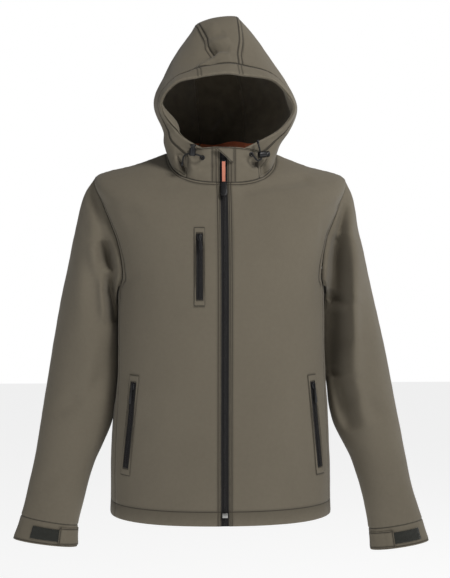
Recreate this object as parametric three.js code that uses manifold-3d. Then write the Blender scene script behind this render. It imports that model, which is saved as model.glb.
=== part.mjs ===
// A hooded softshell jacket, filled out as if worn, with the hood up and the zip closed.
// Millimetres. +X is the wearer's left, -Y is the front and +Z is up.
// The origin is in the middle of the neck, level with the tops of the shoulders.
import * as THREE from "three";
import { mergeVertices } from "three/addons/utils/BufferGeometryUtils.js";
import Module from "manifold-3d";

const wasm = await Module();
wasm.setup();

// Driving sizes of the cloth and its seams.
const clothThickness = 2;
const seamGap = 0.4; // between the edges of two panels sewn together
const insideInset = 1.4; // how far a wall's inner edge stands back from its seam
const layOn = 0.5; // between a panel and what is sewn on it
const zipOpening = 7; // from the centre line to the edge of each front

// How many steps each panel has along and across.
const yokeSteps = 4;
const armholeSteps = 9;
const bodySteps = 9;
const frontSteps = 10;
const backSteps = 20;

// Rings of the body from the neck seam to the hem. Depths are from the shoulder seam.
// square bends a ring towards a rectangle as it falls below 1. fall shapes its drop to the front and back:
// 1 drops evenly with depth, and more leaves the shoulder seam rounder.
const bodyRings = [
  { halfWidth: 97, front: 92, back: 72, frontZ: -49, sideZ: 13, backZ: 20, square: 0.75, fall: 0.95 },
  { halfWidth: 160, front: 104, back: 94, frontZ: -76, sideZ: -11, backZ: -15, square: 0.9, fall: 1.5 },
  { halfWidth: 229, front: 114, back: 106, frontZ: -102, sideZ: -32, backZ: -50, square: 0.9, fall: 1.5 },
  { halfWidth: 222, front: 122, back: 113, frontZ: -130, sideZ: -72, backZ: -90, square: 0.88, fall: 1.4 },
  { halfWidth: 209, front: 128, back: 118, frontZ: -158, sideZ: -115, backZ: -130, square: 0.86, fall: 1.2 },
  { halfWidth: 200, front: 131, back: 121, frontZ: -188, sideZ: -155, backZ: -165, square: 0.85, fall: 1 },
  { halfWidth: 195, front: 133, back: 121, frontZ: -214, sideZ: -188, backZ: -195, square: 0.85, fall: 1 },
  { halfWidth: 192, front: 134, back: 119, frontZ: -230, sideZ: -210, backZ: -214, square: 0.85, fall: 1 },
  { halfWidth: 191, front: 134, back: 118, frontZ: -245, sideZ: -223, backZ: -228, square: 0.85, fall: 1 },
  { halfWidth: 191, front: 133, back: 111, frontZ: -310, sideZ: -296, backZ: -298, square: 0.85, fall: 1 },
  { halfWidth: 193, front: 131, back: 104, frontZ: -390, sideZ: -382, backZ: -382, square: 0.85, fall: 1 },
  { halfWidth: 198, front: 129, back: 104, frontZ: -478, sideZ: -471, backZ: -471, square: 0.85, fall: 1 },
  { halfWidth: 202, front: 129, back: 110, frontZ: -568, sideZ: -561, backZ: -563, square: 0.85, fall: 1 },
  { halfWidth: 202.5, front: 131, back: 116, frontZ: -655, sideZ: -647, backZ: -655, square: 0.85, fall: 1 },
];
const shoulderRing = 2;
const armpitRing = 8;
const hemRing = bodyRings.length - 1;

// Where the panels end from the shoulder ring down to the armpit ring: degrees round from the middle of
// the front, or of the back. Above, they end at the shoulder seam, and below at the side seam.
const armhole = [
  { front: 90, back: 90 },
  { front: 77, back: 79 },
  { front: 70, back: 73 },
  { front: 66.5, back: 71 },
  { front: 66, back: 77 },
  { front: 68, back: 92 },
  { front: 72, back: 108 },
];

// Sections of each sleeve, from the armhole to the cuff seam, and last the cuff's lower edge.
// outer and inner are the sleeve's two edges seen from the front.
const rightSleeve = [
  { outerX: 229, outerZ: -32, innerX: 189, innerZ: -218, halfDepth: 58, middleY: 0 },
  { outerX: 250, outerZ: -66, innerX: 199, innerZ: -230, halfDepth: 66, middleY: 3 },
  { outerX: 266, outerZ: -124, innerX: 196.5, innerZ: -262, halfDepth: 70, middleY: 8 },
  { outerX: 282, outerZ: -203, innerX: 198.5, innerZ: -303, halfDepth: 71, middleY: 10 },
  { outerX: 299, outerZ: -284, innerX: 201.5, innerZ: -355, halfDepth: 67, middleY: 9 },
  { outerX: 311, outerZ: -362, innerX: 205, innerZ: -418, halfDepth: 60, middleY: 6 },
  { outerX: 324, outerZ: -440, innerX: 210, innerZ: -488, halfDepth: 52, middleY: 1 },
  { outerX: 336, outerZ: -520, innerX: 231, innerZ: -556, halfDepth: 45, middleY: -5 },
  { outerX: 349, outerZ: -588, innerX: 248, innerZ: -614, halfDepth: 38, middleY: -10 },
  { outerX: 365, outerZ: -650, innerX: 261, innerZ: -669, halfDepth: 32, middleY: -13 },
  { outerX: 379, outerZ: -692, innerX: 263, innerZ: -708, halfDepth: 31, middleY: -15 },
];
const leftSleeve = [
  { outerX: 229, outerZ: -32, innerX: 189, innerZ: -218, halfDepth: 58, middleY: 0 },
  { outerX: 244, outerZ: -68, innerX: 202, innerZ: -230, halfDepth: 66, middleY: 3 },
  { outerX: 256, outerZ: -128, innerX: 196.5, innerZ: -262, halfDepth: 71, middleY: 8 },
  { outerX: 275, outerZ: -207, innerX: 198.5, innerZ: -303, halfDepth: 73, middleY: 10 },
  { outerX: 293, outerZ: -288, innerX: 201, innerZ: -355, halfDepth: 69, middleY: 9 },
  { outerX: 310, outerZ: -367, innerX: 204, innerZ: -414, halfDepth: 62, middleY: 6 },
  { outerX: 325, outerZ: -447, innerX: 213, innerZ: -484, halfDepth: 54, middleY: 1 },
  { outerX: 340, outerZ: -526, innerX: 241, innerZ: -552, halfDepth: 46, middleY: -5 },
  { outerX: 354, outerZ: -600, innerX: 262, innerZ: -616, halfDepth: 38, middleY: -10 },
  { outerX: 374, outerZ: -664, innerX: 274, innerZ: -681, halfDepth: 32, middleY: -13 },
  { outerX: 386, outerZ: -704, innerX: 277, innerZ: -720, halfDepth: 31, middleY: -15 },
];
const cuffSeam = rightSleeve.length - 2;
const sleeveSteps = 18;
const cuffSteps = 2;
const runningGap = 0.3; // between a hard piece and what it lies on
const layThickness = 1.2; // of a welt, and of the zip tape in it
const pocketSteps = 8;
const neckTapeColumns = 3;
const neckTapeRows = [10.4, 11, 11.6]; // in steps of the hood's side

// The zips' hard pieces.
const slider = {
  width: 9, length: 12, height: 3.4, bevel: 0.7, noseHalf: 3.46,
  pullWidth: 6, pullThickness: 1.6, pivotUp: 2.4,
  below: 7.2, // from the top of a pocket's zip to the middle of its slider
};
const chestPocket = {
  topX: -44.6, topZ: -142, bottomX: -44.6, bottomZ: -258,
  windowHalf: 6, weltHalf: 9.3, weltEnds: 12, pullLength: 26, pullSwing: -6,
};
const handPocket = {
  topX: 158.5, topZ: -405, bottomX: 173, bottomZ: -558,
  windowHalf: 4.6, weltHalf: 8, weltEnds: 14, pullLength: 33, pullSwing: 0,
};
const mainSlider = {
  row: 1.4, tapeLength: 36, tapeWidth: 5.5, endLength: 29, endWidth: 11.5, endTopHalf: 4.8,
  endThickness: 3, endLean: 24, endDrop: 1.8, boxWidth: 9.5, boxHeight: 3, boxLength: 8, boxRow: 1.4,
};

// What lies on the cuffs, in rows and columns of the cuff's grid. Column 0 is its outer edge and 9 its inner.
const lastCuffColumn = 18;
const cuffTab = { from: 7.5, to: 13.5, top: 0.25, bottom: 1.85, finish: "cloth" };
const cuffPatch = { from: 13.7, to: 16.6, top: 0.45, bottom: 1.55, finish: "patch" };

// The hood's drawcord, with an eyelet, a lock and a tip at each end.
const roundSides = 14; // sides of a turned piece
const cordDiameter = 3;
const cordTip = { radius: 2.2, length: 7, taper: 1 };
const eyelet = { inner: 2.4, outer: 4.6, height: 1.4 };
const lock = {
  radius: 6, length: 14, bore: 4.2, floor: 6.4, holeRadius: 2.1, holeHeight: 3.3,
  stemFrom: 9.8, headFrom: 17.2, headTo: 21, headRadius: 5.4, round: 1,
};
// A route runs from the eyelet and goes straight through the lock at its point lockPoint.
const leftDrawcord = {
  eyeletRow: 0.5,
  eyeletColumn: 2.8,
  route: [
    [51, -90, 3], [54, -93.5, -3], [61, -93, -10], [66.8, -91, -7],
    [65.8, -90.7, 1], [64.8, -90.4, 9], [63.3, -91, 15], [62, -91.5, 20],
  ],
  lockPoint: 5,
  lockAxis: [0.85, 0.38, 0.36],
};
const rightDrawcord = {
  eyeletRow: 0.9,
  eyeletColumn: 2.2,
  route: [
    [-36.5, -92.5, -4.6], [-41, -95.5, -2.8], [-48.5, -95.5, -0.2], [-56, -94.2, 0.6],
    [-63.5, -92.9, 1.4], [-69, -90.5, -1], [-72, -88.5, -6], [-73, -87, -13],
  ],
  lockPoint: 4,
  lockAxis: [-0.15, -0.1, 0.98],
};

// The flap over the top of the zip, from its free edge to where it is sewn down.
const garage = {
  below: 1.5, drop: 27, topX: -16, bottomX: 8.5, sewnX: 18, clearX: 8,
  overSlider: 7, thickness: 1.6, press: 0.3,
};
const armholeFade = 3; // sections over which the armhole's own shape gives way to the sleeve's

// Sections of one side of the hood, from the rim back to the seam beside the gusset.
// Each is a curve from its seam through a high, a wide and a low point down to its foot.
const hoodSections = [
  {
    seamX: 41, seamY: -97, seamZ: 141, highX: 90, highY: -92, highZ: 130,
    wideX: 121, wideY: -76, wideZ: 88, lowX: 91, lowY: -76, lowZ: 43,
  },
  {
    seamX: 40, seamY: -62, seamZ: 182, highX: 92, highY: -58, highZ: 152,
    wideX: 127, wideY: -50, wideZ: 97, lowX: 106, lowY: -58, lowZ: 32,
  },
  {
    seamX: 39, seamY: -8, seamZ: 252, highX: 90, highY: -10, highZ: 183,
    wideX: 130, wideY: -8, wideZ: 103, lowX: 111, lowY: -16, lowZ: 44,
  },
  {
    seamX: 38, seamY: 38, seamZ: 256, highX: 86, highY: 40, highZ: 185,
    wideX: 112, wideY: 46, wideZ: 106, lowX: 99, lowY: 46, lowZ: 52,
  },
  {
    seamX: 37, seamY: 86, seamZ: 213, highX: 42, highY: 114, highZ: 165,
    wideX: 44, wideY: 112, wideZ: 106, lowX: 41, lowY: 91, lowZ: 54,
  },
];
const hoodLevels = ["seam", "high", "wide", "low"];
const hoodSteps = 12; // from the gusset seam down to the foot
const collarTopSteps = 2; // steps of the hood's foot along the collar's top edge
const collarSideSteps = 3; // and down the collar's side
const collarSteps = 4; // steps of the neck seam under each half of the collar
const gussetSteps = 4;
const gussetCrown = 5; // how far the gusset bulges between its seams
const hoodLean = 0.2; // how far the crown rises for each millimetre towards the wearer's left
// How far the hood sways towards the wearer's left at each height, from its foot to its crown.
const hoodSway = [{ x: 0 }, { x: 9 }, { x: 4 }, { x: -5 }, { x: -8 }];
const hoodHeight = 262;
const hoodFootZ = 21; // just above the neck seam

// Large soft folds: a trough in the cloth along a line between two points. A depth below 0 is a ridge.
const folds = [
  { fromX: -68, fromY: -88, fromZ: 2, toX: -78, toY: -74, toZ: -26, width: 13, depth: 6 },
  { fromX: 60, fromY: -92, fromZ: -8, toX: 78, toY: -75, toZ: -30, width: 13, depth: 4 },
  { fromX: -34, fromY: -20, fromZ: 230, toX: -22, toY: -60, toZ: 180, width: 15, depth: 5 },
  { fromX: 36, fromY: -98, fromZ: -62, toX: 150, toY: -62, toZ: -36, width: 15, depth: 4 },
  { fromX: -40, fromY: -98, fromZ: -64, toX: -115, toY: -82, toZ: -46, width: 15, depth: 2.5 },
  { fromX: -212, fromY: -60, fromZ: -160, toX: -206, toY: -62, toZ: -240, width: 18, depth: 6 },
  { fromX: 212, fromY: -62, fromZ: -150, toX: 232, toY: -56, toZ: -330, width: 20, depth: 8 },
  { fromX: -215, fromY: -55, fromZ: -400, toX: -262, toY: -58, toZ: -440, width: 18, depth: 4 },
  { fromX: 222, fromY: -50, fromZ: -430, toX: 275, toY: -52, toZ: -462, width: 18, depth: 4 },
  { fromX: -290, fromY: 50, fromZ: -380, toX: -240, toY: 55, toZ: -440, width: 18, depth: 5 },
  { fromX: 292, fromY: 50, fromZ: -390, toX: 242, toY: 55, toZ: -450, width: 18, depth: 5 },
  { fromX: 165, fromY: 88, fromZ: -170, toX: 95, toY: 116, toZ: -270, width: 24, depth: 4 },
  { fromX: -165, fromY: 88, fromZ: -160, toX: -90, toY: 116, toZ: -250, width: 24, depth: 4 },
  { fromX: -95, fromY: 104, fromZ: -400, toX: 60, toY: 106, toZ: -428, width: 26, depth: 4 },
];
const brimThickness = 3.4; // the turned hem, with its cord inside
const brimLift = 1.2;
// The top of the collar, from the zip to its side seam.
const collarTop = { zipY: -87, zipZ: 15, sideX: 64, sideY: -77, sideZ: 8, rimX: 40, bow: 4 };

const colours = {
  cloth: 0x6b6355,
  zip: 0x1d1b1c,
  hard: 0x141416,
  orange: 0xe4512c,
  patch: 0x2b2c28,
  metal: 0xb9b9b6,
};
const finishes = {
  cloth: { color: colours.cloth, roughness: 0.86, metalness: 0 },
  zip: { color: colours.zip, roughness: 0.7, metalness: 0 },
  hard: { color: colours.hard, roughness: 0.35, metalness: 0 },
  orange: { color: colours.orange, roughness: 0.6, metalness: 0 },
  patch: { color: colours.patch, roughness: 0.95, metalness: 0 },
  metal: { color: colours.metal, roughness: 0.3, metalness: 0.9 },
};

const jacket = new THREE.Group();
const point = (x, y, z) => new THREE.Vector3(x, y, z);
const radians = THREE.MathUtils.degToRad;
const range = (count) => [...Array(count + 1).keys()]; // 0 to count, both ends in

function addMesh(name, geometry, finish, parent = jacket) {
  const mesh = new THREE.Mesh(geometry, new THREE.MeshStandardMaterial(finishes[finish]));
  mesh.name = name;
  parent.add(mesh);
  return mesh;
}

// One column of a table, read on a smooth curve through its rows. place 1.5 is midway from row 1 to row 2.
function read(rows, name, place) {
  const last = rows.length - 1;
  const i = THREE.MathUtils.clamp(Math.floor(place), 0, last - 1);
  const at = (k) => {
    if (k < 0) return 2 * rows[0][name] - rows[1][name];
    if (k > last) return 2 * rows[last][name] - rows[last - 1][name];
    return rows[k][name];
  };
  const f = place - i;
  const before = (at(i + 1) - at(i - 1)) / 2;
  const after = (at(i + 2) - at(i)) / 2;
  const rise = at(i + 1) - at(i);
  return at(i) + f * (before + f * (3 * rise - 2 * before - after + f * (before + after - 2 * rise)));
}

// The outward normal at each point of a grid whose rows run down
// and whose columns run towards +X or round a tube.
function gridNormals(grid, tube) {
  const rows = grid.length;
  const columns = grid[0].length;
  return grid.map((row, r) =>
    row.map((_, c) => {
      const left = tube ? row[(c + columns - 1) % columns] : row[Math.max(c - 1, 0)];
      const right = tube ? row[(c + 1) % columns] : row[Math.min(c + 1, columns - 1)];
      const up = grid[Math.max(r - 1, 0)][c];
      const down = grid[Math.min(r + 1, rows - 1)][c];
      const across = right.clone().sub(left);
      const along = down.clone().sub(up);
      return along.cross(across).normalize();
    }),
  );
}

// Moves the points on a grid's edges towards the points beside them.
function inset(grid, distance, tube) {
  const rows = grid.length;
  const columns = grid[0].length;
  const towards = (from, to) => to.clone().sub(from).setLength(distance);
  return grid.map((row, r) =>
    row.map((p, c) => {
      const moved = p.clone();
      if (r === 0) moved.add(towards(p, grid[1][c]));
      if (r === rows - 1) moved.add(towards(p, grid[rows - 2][c]));
      if (!tube && c === 0) moved.add(towards(p, row[1]));
      if (!tube && c === columns - 1) moved.add(towards(p, row[columns - 2]));
      return moved;
    }),
  );
}

const offset = (grid, normals, distance) =>
  grid.map((row, r) => row.map((p, c) => p.clone().addScaledVector(normals[r][c], distance)));

// A wall of cloth between an outer and an inner grid, closed round its edges.
function solidWall(outer, inner, tube) {
  const rows = outer.length;
  const columns = outer[0].length;
  const positions = [...outer.flat(), ...inner.flat()].flatMap((p) => [p.x, p.y, p.z]);
  const index = [];
  const at = (layer, r, c) => layer * rows * columns + r * columns + (c % columns);
  const quad = (a, b, c, d) => index.push(a, b, c, a, c, d);
  const lastColumn = tube ? columns : columns - 1;
  for (let r = 0; r < rows - 1; r++) {
    for (let c = 0; c < lastColumn; c++) {
      quad(at(0, r, c), at(0, r + 1, c), at(0, r + 1, c + 1), at(0, r, c + 1));
      quad(at(1, r, c), at(1, r, c + 1), at(1, r + 1, c + 1), at(1, r + 1, c));
    }
    if (tube) continue;
    quad(at(0, r + 1, 0), at(0, r, 0), at(1, r, 0), at(1, r + 1, 0));
    quad(at(0, r, lastColumn), at(0, r + 1, lastColumn), at(1, r + 1, lastColumn), at(1, r, lastColumn));
  }
  for (let c = 0; c < lastColumn; c++) {
    quad(at(0, 0, c), at(0, 0, c + 1), at(1, 0, c + 1), at(1, 0, c));
    quad(at(0, rows - 1, c + 1), at(0, rows - 1, c), at(1, rows - 1, c), at(1, rows - 1, c + 1));
  }
  const geometry = new THREE.BufferGeometry();
  geometry.setAttribute("position", new THREE.Float32BufferAttribute(positions, 3));
  geometry.setIndex(index);
  return geometry;
}

// Each panel is kept until all are known. Where panels share a point, their walls lean the same way there.
const cloths = [];

// tube closes a panel round. lift moves it out from its grid and thickness goes in from there.
function addCloth(name, grid, options = {}) {
  const settings = { tube: false, thickness: clothThickness, lift: 0, finish: "cloth", ...options };
  cloths.push({ name, grid, normals: gridNormals(grid, settings.tube), ...settings });
}

const mirrored = (grid) => grid.map((row) => row.map((p) => point(-p.x, p.y, p.z)).reverse());

// Adds a panel made on the wearer's left, and its mirror image on the right.
function addPair(name, grid, options) {
  addCloth(name + "_left", grid, options);
  addCloth(name + "_right", mirrored(grid), options);
}

function shareSeamNormals() {
  const sums = new Map();
  const key = (p) => [p.x, p.y, p.z].map((n) => Math.round(n * 20)).join();
  const eachPoint = (visit) =>
    cloths.forEach(({ grid, normals }) =>
      grid.forEach((row, r) => row.forEach((p, c) => visit(p, normals[r][c]))),
    );
  eachPoint((p, normal) => sums.set(key(p), (sums.get(key(p)) ?? point(0, 0, 0)).add(normal)));
  eachPoint((p, normal) => normal.copy(sums.get(key(p))).normalize());
}

// Presses the folds into every panel that they cross, along the normals that its seams share.
function pressFolds() {
  const nearest = point(0, 0, 0);
  const lines = folds.map(
    (f) => new THREE.Line3(point(f.fromX, f.fromY, f.fromZ), point(f.toX, f.toY, f.toZ)),
  );
  const depthAt = (p) =>
    folds.reduce((sum, fold, i) => {
      lines[i].closestPointToPoint(p, true, nearest);
      return sum + fold.depth * Math.exp(-((nearest.distanceTo(p) / fold.width) ** 2));
    }, 0);
  cloths.forEach(({ grid, normals }) =>
    grid.forEach((row, r) => row.forEach((p, c) => p.addScaledVector(normals[r][c], -depthAt(p)))),
  );
}

// A wall of cloth whose outside is the grid.
function wallOf({ grid, normals, tube, thickness, lift }) {
  const outer = inset(offset(grid, normals, lift), seamGap / 2, tube);
  const inner = inset(offset(grid, normals, lift - thickness), insideInset, tube);
  return solidWall(outer, inner, tube);
}

const atSeam = (degrees) => Math.abs(degrees % 180) === 90; // where the front and back rings meet

// A point of the body's surface: degrees round from the middle of the front, and a place in bodyRings.
function bodyPoint(degrees, place) {
  const ring = (name) => read(bodyRings, name, place);
  const angle = radians(degrees);
  const side = Math.pow(Math.abs(Math.sin(angle)), ring("square")) * Math.sign(Math.sin(angle));
  const inFront = Math.cos(angle) > 0;
  const share = Math.pow(atSeam(degrees) ? 0 : Math.abs(Math.cos(angle)), ring("square"));
  const depth = share * (inFront ? -ring("front") : ring("back"));
  const drop = Math.pow(share, ring("fall")) * (ring(inFront ? "frontZ" : "backZ") - ring("sideZ"));
  return point(ring("halfWidth") * side, depth, ring("sideZ") + drop);
}

// Degrees round from the front at which a ring is x from the middle.
function degreesAt(x, place) {
  const share = Math.min(x / read(bodyRings, "halfWidth", place), 1);
  return THREE.MathUtils.radToDeg(Math.asin(Math.pow(share, 1 / read(bodyRings, "square", place))));
}

const bodyPlaces = [
  ...range(yokeSteps).map((i) => (shoulderRing * i) / yokeSteps),
  ...range(armholeSteps)
    .slice(1)
    .map((i) => shoulderRing + ((armpitRing - shoulderRing) * i) / armholeSteps),
  ...range(bodySteps)
    .slice(1)
    .map((i) => armpitRing + ((hemRing - armpitRing) * i) / bodySteps),
];
const armholePlaces = bodyPlaces.slice(yokeSteps, yokeSteps + armholeSteps + 1);
const panelEdge = (name, place) =>
  read(armhole, name, THREE.MathUtils.clamp(place, shoulderRing, armpitRing) - shoulderRing);
const frontEdge = (place) => panelEdge("front", place);
const backEdge = (place) => panelEdge("back", place);

function frontPanel() {
  return bodyPlaces.map((place) => {
    const start = degreesAt(zipOpening, place);
    const reach = frontEdge(place) - start;
    return range(frontSteps).map((i) => bodyPoint(start + (reach * i) / frontSteps, place));
  });
}

function backPanel() {
  return bodyPlaces.map((place) => {
    const edge = backEdge(place);
    return range(backSteps).map((i) => bodyPoint(180 - edge + (2 * edge * i) / backSteps, place));
  });
}
addPair("front", frontPanel());
addCloth("back", backPanel());

// The armhole as a loop from the shoulder, down the back, under the arm and up the front.
function armholeLoop() {
  const down = armholePlaces.map((place) => bodyPoint(180 - backEdge(place), place));
  const up = armholePlaces.map((place) => bodyPoint(frontEdge(place), place)).reverse();
  return [...down, ...up.slice(1, -1)];
}

// A sleeve's section at a place in its table,
// as a point for each angle from the outer edge by way of the front.
function sleeveRing(sections, place, angles) {
  const value = (name) => read(sections, name, place);
  const outer = point(value("outerX"), value("middleY"), value("outerZ"));
  const inner = point(value("innerX"), value("middleY"), value("innerZ"));
  const middle = outer.clone().add(inner).multiplyScalar(0.5);
  const reach = outer.sub(inner).multiplyScalar(0.5);
  return angles.map((a) =>
    middle.clone().addScaledVector(reach, Math.cos(a)).add(point(0, -value("halfDepth") * Math.sin(a), 0)),
  );
}

// The angle in the sleeve's first section at which each point of the armhole lies.
function armholeAngles(sections, loop) {
  const [front, back] = sleeveRing(sections, 0, [Math.PI / 2, -Math.PI / 2]);
  const [outer, inner] = sleeveRing(sections, 0, [0, Math.PI]);
  const middle = outer.clone().add(inner).multiplyScalar(0.5);
  const reach = outer.clone().sub(middle);
  const depth = front.distanceTo(back) / 2;
  return loop.map((p) => {
    const arm = p.clone().sub(middle);
    return Math.atan2(-arm.y / depth, arm.dot(reach) / reach.lengthSq());
  });
}

function sleeveGrid(sections, places) {
  const loop = armholeLoop();
  const angles = armholeAngles(sections, loop);
  const first = sleeveRing(sections, 0, angles);
  return places.map((place) => {
    const fade = 1 - THREE.MathUtils.smoothstep(place, 0, armholeFade);
    const ring = sleeveRing(sections, place, angles);
    return ring.map((p, i) => p.addScaledVector(loop[i].clone().sub(first[i]), fade));
  });
}

function addSleeve(side, sections, place) {
  const sleeve = sleeveGrid(sections, range(sleeveSteps).map((i) => (cuffSeam * i) / sleeveSteps));
  const cuff = sleeveGrid(sections, range(cuffSteps).map((i) => cuffSeam + i / cuffSteps));
  addCloth("sleeve_" + side, place(sleeve), { tube: true });
  addCloth("cuff_" + side, place(cuff), { tube: true });
}
addSleeve("left", leftSleeve, (grid) => grid);
addSleeve("right", rightSleeve, mirrored);

// The neck seam, with a point for each column of the fronts and back.
const neckSeam = [...frontPanel()[0], ...backPanel()[0].slice(1, backSteps / 2 + 1)];
const gussetFoot = frontSteps + backSteps / 2 - gussetSteps / 2; // where the gusset meets the neck seam

// The collar's top edge at a share of the way from the zip to its side seam.
function collarTopPoint(x) {
  const f = (x - zipOpening) / (collarTop.sideX - zipOpening);
  const lerp = THREE.MathUtils.lerp;
  const bow = collarTop.bow * Math.sin(Math.PI * f);
  const y = lerp(collarTop.zipY, collarTop.sideY, f) - bow;
  return point(x, y, lerp(collarTop.zipZ, collarTop.sideZ, f * f));
}
const collarTopX = [
  ...range(collarSteps - collarTopSteps).map(
    (i) => zipOpening + ((collarTop.rimX - zipOpening) * i) / (collarSteps - collarTopSteps),
  ),
  ...range(collarTopSteps)
    .slice(1)
    .map((i) => collarTop.rimX + ((collarTop.sideX - collarTop.rimX) * i) / collarTopSteps),
];

function collarGrid() {
  return range(collarSideSteps).map((r) =>
    collarTopX.map((x, c) => collarTopPoint(x).lerp(neckSeam[c], r / collarSideSteps)),
  );
}
addPair("collar", collarGrid());

// The hood's foot: back along the collar's top, down its side, and round the neck seam to the gusset.
const collarSide = collarGrid().map((row) => row[collarSteps]);
const hoodFoot = [
  ...collarTopX.slice(collarSteps - collarTopSteps).map(collarTopPoint),
  ...collarSide.slice(1),
  ...neckSeam.slice(collarSteps + 1, gussetFoot + 1),
];

function hoodSide() {
  const lastSection = hoodSections.length - 1;
  const columns = hoodFoot.map((foot, c) => {
    const value = (name) => read(hoodSections, name, (lastSection * c) / (hoodFoot.length - 1));
    const levelPoint = (level) => point(value(level + "X"), value(level + "Y"), value(level + "Z"));
    const levels = hoodLevels.map(levelPoint);
    return [...levels, foot];
  });
  return range(hoodSteps).map((r) =>
    columns.map((column) => {
      const place = (r / hoodSteps) * hoodLevels.length;
      return point(read(column, "x", place), read(column, "y", place), read(column, "z", place));
    }),
  );
}

// The strip over the crown and down the back of the hood, with a row for each point of its seams.
function hoodStrip() {
  const side = hoodSide();
  const back = side.map((row) => row[row.length - 1]);
  const seam = [...side[0], ...back.slice(1)];
  const foot = neckSeam.slice(gussetFoot);
  return seam.map((p, r) => {
    if (r === seam.length - 1) return [...foot, ...mirrored([foot])[0].slice(1)];
    const along = seam[r + 1].clone().sub(seam[Math.max(r - 1, 0)]);
    const out = point(0, -along.z, along.y).normalize();
    return range(gussetSteps).map((i) => {
      const share = 1 - (2 * i) / gussetSteps;
      return point(p.x * share, p.y, p.z).addScaledVector(out, gussetCrown * (1 - share * share));
    });
  });
}

// The crown leans up towards the wearer's left, and the hood sways.
const leaned = (grid) =>
  grid.map((row) =>
    row.map((p) => {
      const level = THREE.MathUtils.clamp(p.z / hoodHeight, 0, 1) * (hoodSway.length - 1);
      const rise = hoodLean * p.x * THREE.MathUtils.smoothstep(p.z, 100, 250);
      const sway = read(hoodSway, "x", level) * THREE.MathUtils.smoothstep(p.z, hoodFootZ, hoodFootZ + 25);
      return p.clone().add(point(sway, 0, rise));
    }),
  );

// The turned hem round the face: up one side from the collar, across the strip and down the other side.
function hoodBrim() {
  const side = hoodSide();
  const strip = hoodStrip();
  return range(collarTopSteps).reverse().map((c) => {
    const leftDown = side.map((row) => row[c]);
    const rightUp = mirrored([leftDown])[0];
    return [...rightUp, ...strip[c].slice(1, -1).reverse(), ...leftDown];
  });
}
const behindBrim = (row) => row.slice(collarTopSteps);
addCloth("hood_side_left", leaned(hoodSide().map(behindBrim)));
addCloth("hood_side_right", leaned(mirrored(hoodSide().map(behindBrim))));
addCloth("hood_gusset", leaned(behindBrim(hoodStrip())));
addCloth("hood_brim", leaned(hoodBrim()), { thickness: brimThickness, lift: brimLift });

// A point between the rows and columns of a grid, with the way out from the cloth there.
function onGrid(grid, row, column) {
  const r = Math.min(Math.floor(row), grid.length - 2);
  const c = Math.min(Math.floor(column), grid[0].length - 2);
  const alongRow = (k) => grid[k][c].clone().lerp(grid[k][c + 1], column - c);
  const across = grid[r][c + 1].clone().sub(grid[r][c]);
  const out = grid[r + 1][c].clone().sub(grid[r][c]).cross(across).normalize();
  return { at: alongRow(r).lerp(alongRow(r + 1), row - r), out };
}

// The strip of tape with the teeth, between the two fronts from the top of the collar down to the hem.
const zipColumns = [-zipOpening, 0, zipOpening];
const zipOnBody = (x, place) => {
  const p = bodyPoint(degreesAt(Math.abs(x), place), place);
  return point(x, p.y, p.z);
};
const zipOnCollar = (x, share) => {
  const top = collarTopPoint(Math.abs(x));
  return point(x, top.y, top.z).lerp(zipOnBody(x, 0), share);
};
const mainZip = [
  ...range(collarSideSteps).map((r) => zipColumns.map((x) => zipOnCollar(x, r / collarSideSteps))),
  ...bodyPlaces.slice(1).map((place) => zipColumns.map((x) => zipOnBody(x, place))),
];
addCloth("main_zip", mainZip, { finish: "zip" });

// The flap over the top of the zip. It is sewn to the wearer's left front and its free edge slants.
function zipGarage() {
  const collar = collarGrid();
  return range(2).map((r) => {
    const share = r / 2;
    const freeX = THREE.MathUtils.lerp(garage.topX, garage.bottomX, share);
    const collarRow = (garage.below + garage.drop * share) / (collar[0][0].z - collar[1][0].z);
    return range(4).map((c) => {
      const x = THREE.MathUtils.lerp(freeX, garage.sewnX, c / 4);
      const column = Math.max(Math.abs(x) - zipOpening, 0) / (collarTopX[1] - zipOpening);
      const proud = THREE.MathUtils.smoothstep(garage.sewnX - x, 0, garage.sewnX - garage.clearX);
      const bulge = garage.overSlider * proud;
      const { at } = onGrid(collar, collarRow, column);
      return point(x, at.y + garage.press - garage.thickness - bulge, at.z);
    });
  });
}
addCloth("zip_garage", zipGarage(), { thickness: garage.thickness });

// The tape inside the back of the neck, just above the seam.
function neckTape() {
  const side = hoodSide().map((row) => row.slice(-neckTapeColumns));
  const strip = hoodStrip();
  return neckTapeRows.map((row) => {
    const left = side[0].map((_, c) => onGrid(side, row, c).at);
    const right = mirrored([left])[0];
    const middle = strip[0].map((_, c) => onGrid(strip, strip.length - 1 - hoodSteps + row, c).at);
    return [...left.slice(0, -1), ...middle, ...right.slice(1)];
  });
}
addCloth("neck_tape", leaned(neckTape()), { finish: "orange", thickness: 1, lift: -clothThickness - layOn });

// A place on the front of the body at x and z, with the way out from the cloth there.
function frontAt(x, z) {
  const find = (px, pz) => {
    let low = 0;
    let high = hemRing;
    for (let i = 0; i < 40; i++) {
      const place = (low + high) / 2;
      const p = bodyPoint(degreesAt(Math.abs(px), place), place);
      if (p.z > pz) low = place;
      else high = place;
    }
    const p = bodyPoint(degreesAt(Math.abs(px), low), low);
    return point(px, p.y, p.z);
  };
  const across = find(x + 1, z).sub(find(x - 1, z));
  const along = find(x, z - 1).sub(find(x, z + 1));
  return { at: find(x, z), out: along.cross(across).normalize() };
}

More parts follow.
